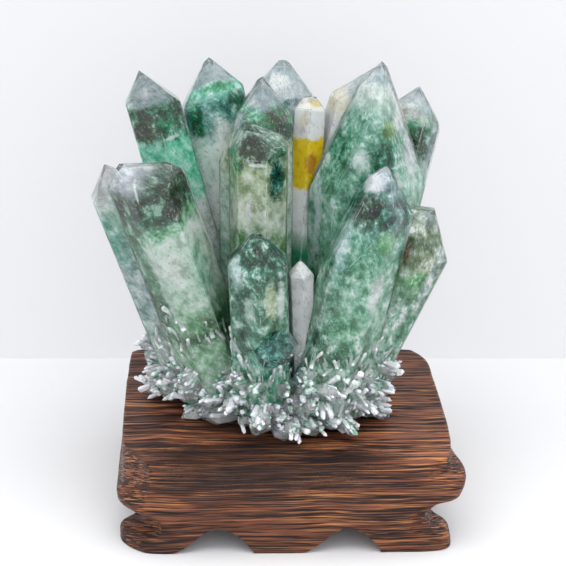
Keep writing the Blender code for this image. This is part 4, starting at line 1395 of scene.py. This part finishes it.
@dataclass(frozen=True)
class FineDruse:
    """The finest, slender crystals, in bundles on the sides of the small ones."""

    clear_of_tip: float = 3.0
    lowest: float = 38.5

    def points(self) -> list[list[Vector]]:
        """Return the corners of a few slender six-sided crystals."""
        rng = random.Random(5)
        shapes = []
        for _ in range(6):
            length = rng.uniform(1.6, 2.6)
            girth = rng.uniform(0.3, 0.62)
            corners = []
            for i in range(6):
                turn = math.radians(60 * i)
                for height in (-1.0, length * rng.uniform(0.72, 0.88)):
                    corners.append(Vector((girth * math.cos(turn), girth * math.sin(turn),
                                           height)) * MM)
            corners.append(Vector((rng.uniform(-0.1, 0.1), rng.uniform(-0.1, 0.1),
                                   length)) * MM)
            shapes.append(corners)
        return shapes

    def ground(self, place: Place, small: bpy.types.Object) -> bpy.types.Object:
        """Return the sides of the small crystals, clear of their tips and of the stand."""
        edit = bmesh.new()
        edit.from_mesh(small.data)
        depth = edit.verts.layers.float_vector["growth"]
        lowest = place.metres((0.0, 0.0, self.lowest)).z
        spare = [face for face in edit.faces
                 if sum(corner[depth].z for corner in face.verts) / 3 < self.clear_of_tip
                 or face.calc_center_median().z < lowest or face.normal.z < -0.4]
        bmesh.ops.delete(edit, geom=spare, context="FACES")
        mesh = bpy.data.meshes.new("druse_ground")
        edit.to_mesh(mesh)
        edit.free()
        ground = bpy.data.objects.new("druse_ground", mesh)
        bpy.context.scene.collection.objects.link(ground)
        return ground

    def build(self, place: Place, small: bpy.types.Object,
              cores: list[bpy.types.Object]) -> list[bpy.types.Object]:
        """Build the clear and the cloudy fine druse, and some that climbs the large crystals."""
        pieces = []
        for scatter, colour, gloss, wide in (
                (Scatter("fine_druse_clear", 110000, 0.9, 2.3, 0.3, 11, "along"),
                 (240, 244, 250), Gloss.CLEAR, False),
                (Scatter("fine_druse_cloudy", 60000, 0.9, 2.2, 0.4, 23, "along"),
                 (120, 176, 148), Gloss.CLOUDY, False),
                (Scatter("fine_druse_climbing", 90000, 0.8, 2.0, 0.6, 31, "along", 0.104),
                 (200, 224, 212), Gloss.CLEAR, True)):
            store = shape_store(scatter.name + "_shapes", self.points())
            finish = quartz_crumb_finish(scatter.name, colour, gloss)
            ground = joined_ground(cores) if wide else self.ground(place, small)
            pieces.append(scatter.grow(ground, store, finish, STONE_SLOT))
            drop_store(store)
        return pieces


@dataclass(frozen=True)
class Needles:
    """Fine white needles grown in and on the crystals."""

    density: float = 8000
    seed: int = 9

    def slivers(self) -> list[list[Vector]]:
        """Return the corners of a few thin slivers."""
        shapes = []
        for length, width in ((1.6, 0.06), (2.4, 0.07), (1.0, 0.09)):
            shapes.append([Vector(c) * MM for c in (
                (-length / 2, 0, 0), (length / 2, 0, 0), (0, width, 0), (0, -width / 2, width),
                (0, -width / 2, -width))])
        return shapes

    def build(self, cores: list[bpy.types.Object]) -> bpy.types.Object:
        """Build all needles as one piece."""
        sh = Shading("white_needles")
        sh.set(Base_Color=linear((244, 247, 248)), Roughness=0.3)
        store = shape_store("needle_shapes", self.slivers())
        scatter = Scatter("white_needles", self.density, 0.7, 2.0, 0.2, self.seed)
        piece = scatter.grow(joined_ground(cores), store, sh.material, STONE_SLOT)
        drop_store(store)
        return piece


@dataclass(frozen=True)
class Level:
    """One level of the stand: height, squareness of its corners, and how far it stands out."""

    z: float
    square: float
    left: float
    right: float
    front: float


@dataclass(frozen=True)
class CarvedStand:
    """The carved stand, in the same terms as its solid but finer."""

    top: tuple = (
        (-45, -43), (-30, -43.2), (-15, -43.2), (0, -43.2), (15, -43.1), (30, -42.9), (46, -42.5),
        (50, -41), (53.5, -38.7), (57, -35.2), (58.4, -28), (59.2, -20), (59.4, -12), (59.1, -2),
        (58.7, 10), (58.1, 22), (57.8, 31), (56.2, 36.5), (53.2, 41), (50, 42.6), (34, 42.9),
        (17, 43), (0, 43), (-17, 43), (-34, 42.9), (-52, 42.8), (-56.6, 41.6), (-57.9, 38.5),
        (-58.3, 22), (-58.4, 8), (-58.3, -8), (-58, -20), (-57.4, -25), (-55.6, -29),
        (-52.8, -33.2), (-48.5, -39.8))
    foot: tuple = (
        (-46, -43.1), (-30, -43.2), (-15, -43.2), (0, -43.2), (15, -43.1), (30, -42.9),
        (46, -42.7), (52, -42.4), (56.4, -41.4), (59, -38.6), (59.4, -31), (59.4, -20),
        (59.4, -12), (59.1, -2), (58.9, 10), (58.7, 22), (58.5, 32), (58, 38), (55.5, 41.4),
        (51, 42.8), (34, 42.9), (17, 43), (0, 43), (-17, 43), (-34, 42.9), (-52, 42.9),
        (-57, 41.8), (-58.6, 38.5), (-58.8, 22), (-58.8, 8), (-58.8, -8), (-58.8, -20),
        (-58.8, -27), (-58.6, -33.5), (-56.2, -37.8), (-51.5, -41.5))
    levels: tuple[Level, ...] = (
        Level(0.0, 1.0, -0.4, -0.4, 0.0), Level(0.5, 1.0, 0.0, 0.1, 0.2),
        Level(3.4, 1.0, 0.0, -0.2, 0.3), Level(5.0, 1.0, -1.4, -2.0, 0.1),
        Level(6.2, 0.9, -4.8, -4.8, -0.2), Level(7.6, 0.8, -7.6, -6.8, -0.5),
        Level(9.6, 0.8, -8.6, -8.2, -0.7), Level(11.8, 0.7, -8.0, -8.7, -0.6),
        Level(13.6, 0.7, -6.0, -8.4, -0.2), Level(14.8, 0.8, -3.2, -7.8, 0.1),
        Level(15.6, 0.8, 0.3, -7.2, 0.3), Level(17.0, 0.9, 1.0, -6.0, 0.4),
        Level(18.6, 0.9, 1.2, -4.0, 0.4), Level(19.6, 0.9, 1.0, -1.4, 0.3),
        Level(20.4, 0.8, 0.8, 2.6, 0.2), Level(22.0, 0.6, 0.2, 4.2, 0.1),
        Level(25.0, 0.5, -0.2, 5.2, 0.0), Level(27.0, 0.4, -0.2, 4.9, -0.1),
        Level(28.1, 0.3, -0.2, 2.6, -0.1), Level(29.2, 0.2, -0.1, 0.6, -0.1),
        Level(31.6, 0.1, 0.0, 0.1, -0.2), Level(32.6, 0.0, 0.0, 0.1, 0.2),
        Level(34.4, 0.0, 0.0, 0.1, 0.2), Level(35.2, 0.0, -0.6, -0.6, -0.5),
        Level(35.5, 0.0, -1.5, -1.5, -1.5))
    arches: tuple = ((-41.5, -11.0, -23.5, 9.6), (4.6, 34.0, 22.0, 9.6))
    side_arch: Point = (-33.0, 33.5, 0.5)
    side_height: float = 10.0
    fine: int = 4
    between: int = 3

    @staticmethod
    def ease(low: float, high: float, value: float) -> float:
        """Return 0 below low, 1 above high and a smooth step between."""
        t = min(1.0, max(0.0, (value - low) / (high - low)))
        return t * t * (3 - 2 * t)

    @staticmethod
    def curve(values: list[np.ndarray], steps: int, closed: bool) -> list[np.ndarray]:
        """Run a smooth curve through values, with some steps between each two."""
        count = len(values)
        drawn = []
        for i in range(count if closed else count - 1):
            a = values[(i - 1) % count] if closed or i else values[0]
            b, c = values[i], values[(i + 1) % count]
            d = values[(i + 2) % count] if closed or i + 2 < count else values[-1]
            for k in range(steps):
                t = k / steps
                drawn.append(b + 0.5 * t * (c - a + t * (2 * a - 5 * b + 4 * c - d
                                                         + t * (3 * (b - c) + d - a))))
        if not closed:
            drawn.append(values[-1])
        return drawn

    def corner(self, top: np.ndarray, foot: np.ndarray, level: np.ndarray) -> Point:
        """Return one outline point at a level."""
        z, square, left, right, front = level
        x, y = top + square * (foot - top)
        end = self.ease(40, 56, abs(x))
        if x > 0:
            fade = 1.0 - 0.9 * self.ease(-32, -12, y) if right > 0 else 1.0
            x += right * end * fade
        else:
            x -= left * end
        y += math.copysign(1.0, y) * front * self.ease(28, 41, abs(y))
        wave = noise.noise(Vector((x, y, z)) * 0.09) * 0.3 + noise.noise(
            Vector((x * 0.2, y * 0.2, z * 1.1))) * 0.16 - 0.4
        out = Vector((x / 59, y / 43, 0)).normalized() * (wave if 1 < z < 35 else wave * 0.4)
        return (x + out.x, y + out.y, z)

    def build(self, place: Place) -> bpy.types.Object:
        """Build the stand and put it in the place of its solid."""
        tops = self.curve([np.array(c, float) for c in self.top], self.fine, True)
        feet = self.curve([np.array(c, float) for c in self.foot], self.fine, True)
        rows = self.curve([np.array([v.z, v.square, v.left, v.right, v.front])
                           for v in self.levels], self.between, False)
        edit = bmesh.new()
        rings = [[edit.verts.new(place.metres(self.corner(t, f, row)))
                  for t, f in zip(tops, feet)] for row in rows]
        count = len(tops)
        for low, high in zip(rings, rings[1:]):
            for i in range(count):
                j = (i + 1) % count
                edit.faces.new((low[i], low[j], high[j], high[i]))
        edit.faces.new(list(reversed(rings[0])))
        edit.faces.new(rings[-1])
        bmesh.ops.recalc_face_normals(edit, faces=edit.faces)
        mesh = bpy.data.meshes.new("carved_stand")
        edit.to_mesh(mesh)
        edit.free()
        stand = bpy.data.objects.new("carved_stand", mesh)
        bpy.context.scene.collection.objects.link(stand)
        for index, arch in enumerate(self.arches):
            self.cut(stand, self.arch_outline(arch), True, place, index)
        self.cut(stand, self.side_outline(), False, place, 9)
        stand.data.materials.clear()
        stand.data.materials.append(WoodFinish().material())
        for face in stand.data.polygons:
            face.use_smooth = True
        stand.data.set_sharp_from_angle(angle=math.radians(38))
        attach(stand, BODY)
        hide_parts("wooden_stand")
        LOG.info("carved stand: %d faces", len(stand.data.polygons))
        return stand

    @staticmethod
    def arch_outline(arch: tuple, steps: int = 28) -> list[tuple[float, float]]:
        """Return the cross-section of an arch of the long faces."""
        start, end, crown, height = arch
        points = [(start - 0.6, -3.0), (start, 0.0)]
        for i in range(1, steps):
            t = i / steps
            points.append((start + (crown - start) * t,
                           height * (1 - math.cos(math.pi * t)) / 2))
        for i in range(steps):
            t = i / steps
            points.append((crown + (end - crown) * t, height * math.cos(math.pi * t / 2) ** 0.8))
        return points + [(end, 0.0), (end + 0.3, -3.0)]

    def side_outline(self, steps: int = 22) -> list[tuple[float, float]]:
        """Return the cross-section of the long flat arch between the end feet."""
        start, end, crown = self.side_arch
        points = [(start - 0.3, -3.0)]
        for i in range(-steps, steps + 1):
            t = i / steps
            reach = end - crown if t > 0 else crown - start
            points.append((crown + reach * t, self.side_height * (1 - abs(t) ** 5)))
        return points + [(end + 0.3, -3.0)]

    @staticmethod
    def cut(stand: bpy.types.Object, outline: list[tuple[float, float]], deep: bool,
            place: Place, index: int) -> None:
        """Cut an arch through the stand.

        Args:
            stand: The stand.
            outline: The arch's cross-section.
            deep: True to cut from front to back, False from end to end.
            place: Where millimetres lie in the frame.
            index: A number for the cutter's name.
        """
        edit = bmesh.new()
        ends = [[edit.verts.new(place.metres((along, side, z) if deep else (side, along, z)))
                 for along, z in outline] for side in (-80.0, 80.0)]
        edit.faces.new(ends[0])
        edit.faces.new(list(reversed(ends[1])))
        for i in range(len(outline)):
            j = (i + 1) % len(outline)
            edit.faces.new((ends[0][i], ends[1][i], ends[1][j], ends[0][j]))
        bmesh.ops.recalc_face_normals(edit, faces=edit.faces)
        mesh = bpy.data.meshes.new(f"arch_{index}")
        edit.to_mesh(mesh)
        edit.free()
        cutter = bpy.data.objects.new(f"arch_{index}", mesh)
        bpy.context.scene.collection.objects.link(cutter)
        step = stand.modifiers.new("arch", "BOOLEAN")
        step.operation, step.solver, step.object = "DIFFERENCE", "EXACT", cutter
        graph = bpy.context.evaluated_depsgraph_get()
        cutout = bpy.data.meshes.new_from_object(stand.evaluated_get(graph))
        stand.modifiers.clear()
        stand.data = cutout
        bpy.data.objects.remove(cutter, do_unlink=True)


@dataclass(frozen=True)
class WoodFinish:
    """Dark hardwood with an oil finish, fine tan and orange streaks, near-black pores, and a painted shadow in
    front of the stone.
    """

    # The darkest brown, used for the pores and for the painted shadow in front of the stone.
    dark: Colour = (24, 11, 8)
    umber: Colour = (66, 34, 24)
    brown: Colour = (122, 70, 47)
    tan: Colour = (190, 126, 76)

    def material(self) -> bpy.types.Material:
        """Make the material."""
        sh = Shading("oiled_wood")
        here = sh.add("ShaderNodeTexCoord").outputs["Object"]
        broad = use_group(sh, Effects.cloud(), {"Vector": here, "Scale": 26.0, "Low": 0.35,
                                                "High": 0.65, "Detail": 3.0})
        bands = use_group(sh, Effects.grain(), {"Vector": here, "Size": (0.12, 0.02, 0.0022),
                                                "Low": 0.38, "High": 0.62})
        streaks = use_group(sh, Effects.grain(), {"Vector": here, "Size": (0.03, 0.006, 0.00045),
                                                  "Low": 0.5, "High": 0.64})
        pores = use_group(sh, Effects.grain(), {"Vector": here, "Size": (0.026, 0.004, 0.0004),
                                                "Low": 0.46, "High": 0.58})
        base = sh.add("ShaderNodeMix", {"Factor": bands, 6: linear(self.umber),
                                        7: linear(self.brown)}, data_type="RGBA").outputs[2]
        some = sh.add("ShaderNodeMath", {0: broad, 1: 0.7, 2: 0.3},
                      operation="MULTIPLY_ADD").outputs[0]
        lit = sh.add("ShaderNodeMath", {0: streaks, 1: some}, operation="MULTIPLY").outputs[0]
        warm = sh.add("ShaderNodeMix", {"Factor": lit, 6: base, 7: linear(self.tan)},
                      data_type="RGBA").outputs[2]
        deep = sh.add("ShaderNodeMix", {"Factor": pores, 6: warm, 7: linear(self.dark)},
                      data_type="RGBA").outputs[2]
        # Painted shadow: a ragged patch of the wood in front of and under the stone is darkened towards the
        # darkest brown, where the stone shades it.
        measured = sh.add("ShaderNodeVectorMath", {0: here, "Scale": 1 / MM},
                          operation="SCALE").outputs[0]
        painted_shadow = use_group(sh, Effects.tuft(), {"Vector": measured, "Centre": (-6, -46, 35),
                                               "Size": (48, 15, 12), "Ragged": 0.9,
                                               "Scale": 0.06})
        some = sh.add("ShaderNodeMath", {0: painted_shadow, 1: 0.75}, operation="MULTIPLY").outputs[0]
        with_painted_shadow = sh.add("ShaderNodeMix", {"Factor": some, 6: deep, 7: linear(self.dark)},
                       data_type="RGBA").outputs[2]
        sh.feed("Base Color", with_painted_shadow)
        rough = sh.add("ShaderNodeMath", {0: pores, 1: 0.2, 2: 0.36},
                       operation="MULTIPLY_ADD").outputs[0]
        sh.feed("Roughness", rough)
        sunk = sh.add("ShaderNodeMath", {0: streaks, 1: pores}, operation="SUBTRACT").outputs[0]
        bump = sh.add("ShaderNodeBump", {"Height": sunk, "Strength": 0.5, "Distance": 0.0003})
        sh.feed("Normal", bump.outputs["Normal"])
        sh.set(Specular_IOR_Level=0.3)
        return sh.material


@dataclass(frozen=True)
class Studio:
    """The pale floor and wall, the soft light and the camera."""

    lens: float = 100.0
    elevation: float = 26.3
    yaw: float = 2.7
    roll: float = 1.3
    distance: float = 0.555
    aim: Point = (-1.0, 0.0, 85.0)
    wall: float = 98.0

    def build(self, place: Place) -> None:
        """Set up everything round the part."""
        self.floor(place)
        self.light(place)
        self.camera(place)

    def floor(self, place: Place) -> None:
        """Lay the floor and stand the wall, which only shows from the front."""
        white = Shading("floor_white")
        white.set(Base_Color=linear((206, 206, 207)), Roughness=0.7)
        grey = Shading("wall_grey")
        grey.set(Base_Color=linear((160, 160, 162)), Roughness=0.9,
                 Emission_Color=linear((252, 252, 255)), Emission_Strength=0.48)
        clear = grey.add("ShaderNodeBsdfTransparent")
        facing = grey.add("ShaderNodeNewGeometry")
        both = grey.add("ShaderNodeMixShader", {0: facing.outputs["Backfacing"],
                                                1: grey.surface.outputs[0],
                                                2: clear.outputs[0]})
        out = next(n for n in grey.tree.nodes if n.type == "OUTPUT_MATERIAL")
        grey.tree.links.new(both.outputs[0], out.inputs["Surface"])
        self.sheet("floor", [(-1500, -1500, 0), (1500, -1500, 0), (1500, 1500, 0),
                             (-1500, 1500, 0)], white.material, place)
        self.sheet("wall", [(-900, self.wall, 0), (900, self.wall, 0), (900, self.wall, 700),
                            (-900, self.wall, 700)], grey.material, place)

    @staticmethod
    def sheet(name: str, corners: list[Point], material: bpy.types.Material,
              place: Place) -> None:
        """Make one flat sheet of the stage."""
        mesh = bpy.data.meshes.new(name)
        mesh.from_pydata([place.metres(c) for c in corners], [], [(0, 1, 2, 3)])
        mesh.materials.append(material)
        item = bpy.data.objects.new(name, mesh)
        bpy.context.scene.collection.objects.link(item)

    def light(self, place: Place) -> None:
        """Light the part with a soft sky and two large lamps."""
        world = bpy.data.worlds.new("soft_room")
        bpy.context.scene.world = world
        world.use_nodes = True
        tree = world.node_tree
        back = tree.nodes["Background"]
        where = add_node(tree, "ShaderNodeTexCoord")
        parts = add_node(tree, "ShaderNodeSeparateXYZ", {0: where.outputs["Generated"]})
        side = add_node(tree, "ShaderNodeMath", {0: parts.outputs["Y"], 1: 0.35,
                                                 2: parts.outputs["Z"]}, operation="MULTIPLY_ADD")
        ramp = add_node(tree, "ShaderNodeValToRGB", {"Fac": side.outputs[0]})
        ramp.color_ramp.elements[0].color = linear((214, 217, 224))
        ramp.color_ramp.elements[1].color = linear((255, 255, 255))
        ramp.color_ramp.elements[1].position = 0.85
        tree.links.new(ramp.outputs["Color"], back.inputs["Color"])
        back.inputs["Strength"].default_value = 1.5
        for name, spot, size, watts in (("key", (-40, 330, 900), 1.9, 34.0),
                                        ("fill", (300, -700, 500), 0.7, 1.0)):
            lamp = bpy.data.lights.new(name, "AREA")
            lamp.size, lamp.energy = size, watts
            item = bpy.data.objects.new(name, lamp)
            item.location = place.metres(spot)
            aim = place.metres((0, 0, 70)) - item.location
            item.rotation_euler = aim.to_track_quat("-Z", "Y").to_euler()
            item.visible_glossy = name != "key"
            bpy.context.scene.collection.objects.link(item)

    def camera(self, place: Place) -> None:
        """Place the camera at the photograph's angle."""
        el, yaw, roll = (math.radians(v) for v in (self.elevation, self.yaw, self.roll))
        forward = Vector((math.sin(yaw) * math.cos(el), math.cos(yaw) * math.cos(el),
                          -math.sin(el)))
        level = Vector((math.cos(yaw), -math.sin(yaw), 0))
        above = level.cross(forward)
        right = math.cos(roll) * level + math.sin(roll) * above
        up = -math.sin(roll) * level + math.cos(roll) * above
        lens = bpy.data.cameras.new("camera")
        lens.lens, lens.sensor_width = self.lens, 36.0
        lens.clip_start = 0.01
        item = bpy.data.objects.new("camera", lens)
        turn = Matrix((right, up, -forward)).transposed().to_4x4()
        item.matrix_world = Matrix.Translation(
            place.metres(self.aim) - forward * self.distance) @ turn
        bpy.context.scene.collection.objects.link(item)
        bpy.context.scene.camera = item


def main() -> None:
    """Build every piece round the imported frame."""
    logging.basicConfig(level=logging.INFO, format="%(name)s: %(message)s")
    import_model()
    place = Place.of_stone()
    QuartzSkin().dress()
    cores = [core.build(place, index) for index, core in enumerate(CORES)]
    Veils().build(place)
    BrightEdges("bright_edges", 0.1, 0.3).build(place, [(core.crystal, []) for core in CORES])
    RockHeart().build(place)
    druse = Druse()
    small = druse.crystals()
    druse_cores = druse.build(place, small)
    BrightEdges("druse_edges", 0.08, 0.2).build(place, small)
    FineDruse().build(place, druse_cores, cores)
    Needles().build(cores)
    CarvedStand().build(place)
    Studio().build(place)
    bpy.context.scene.view_settings.view_transform = "Standard"


if __name__ == "__main__":
    main()
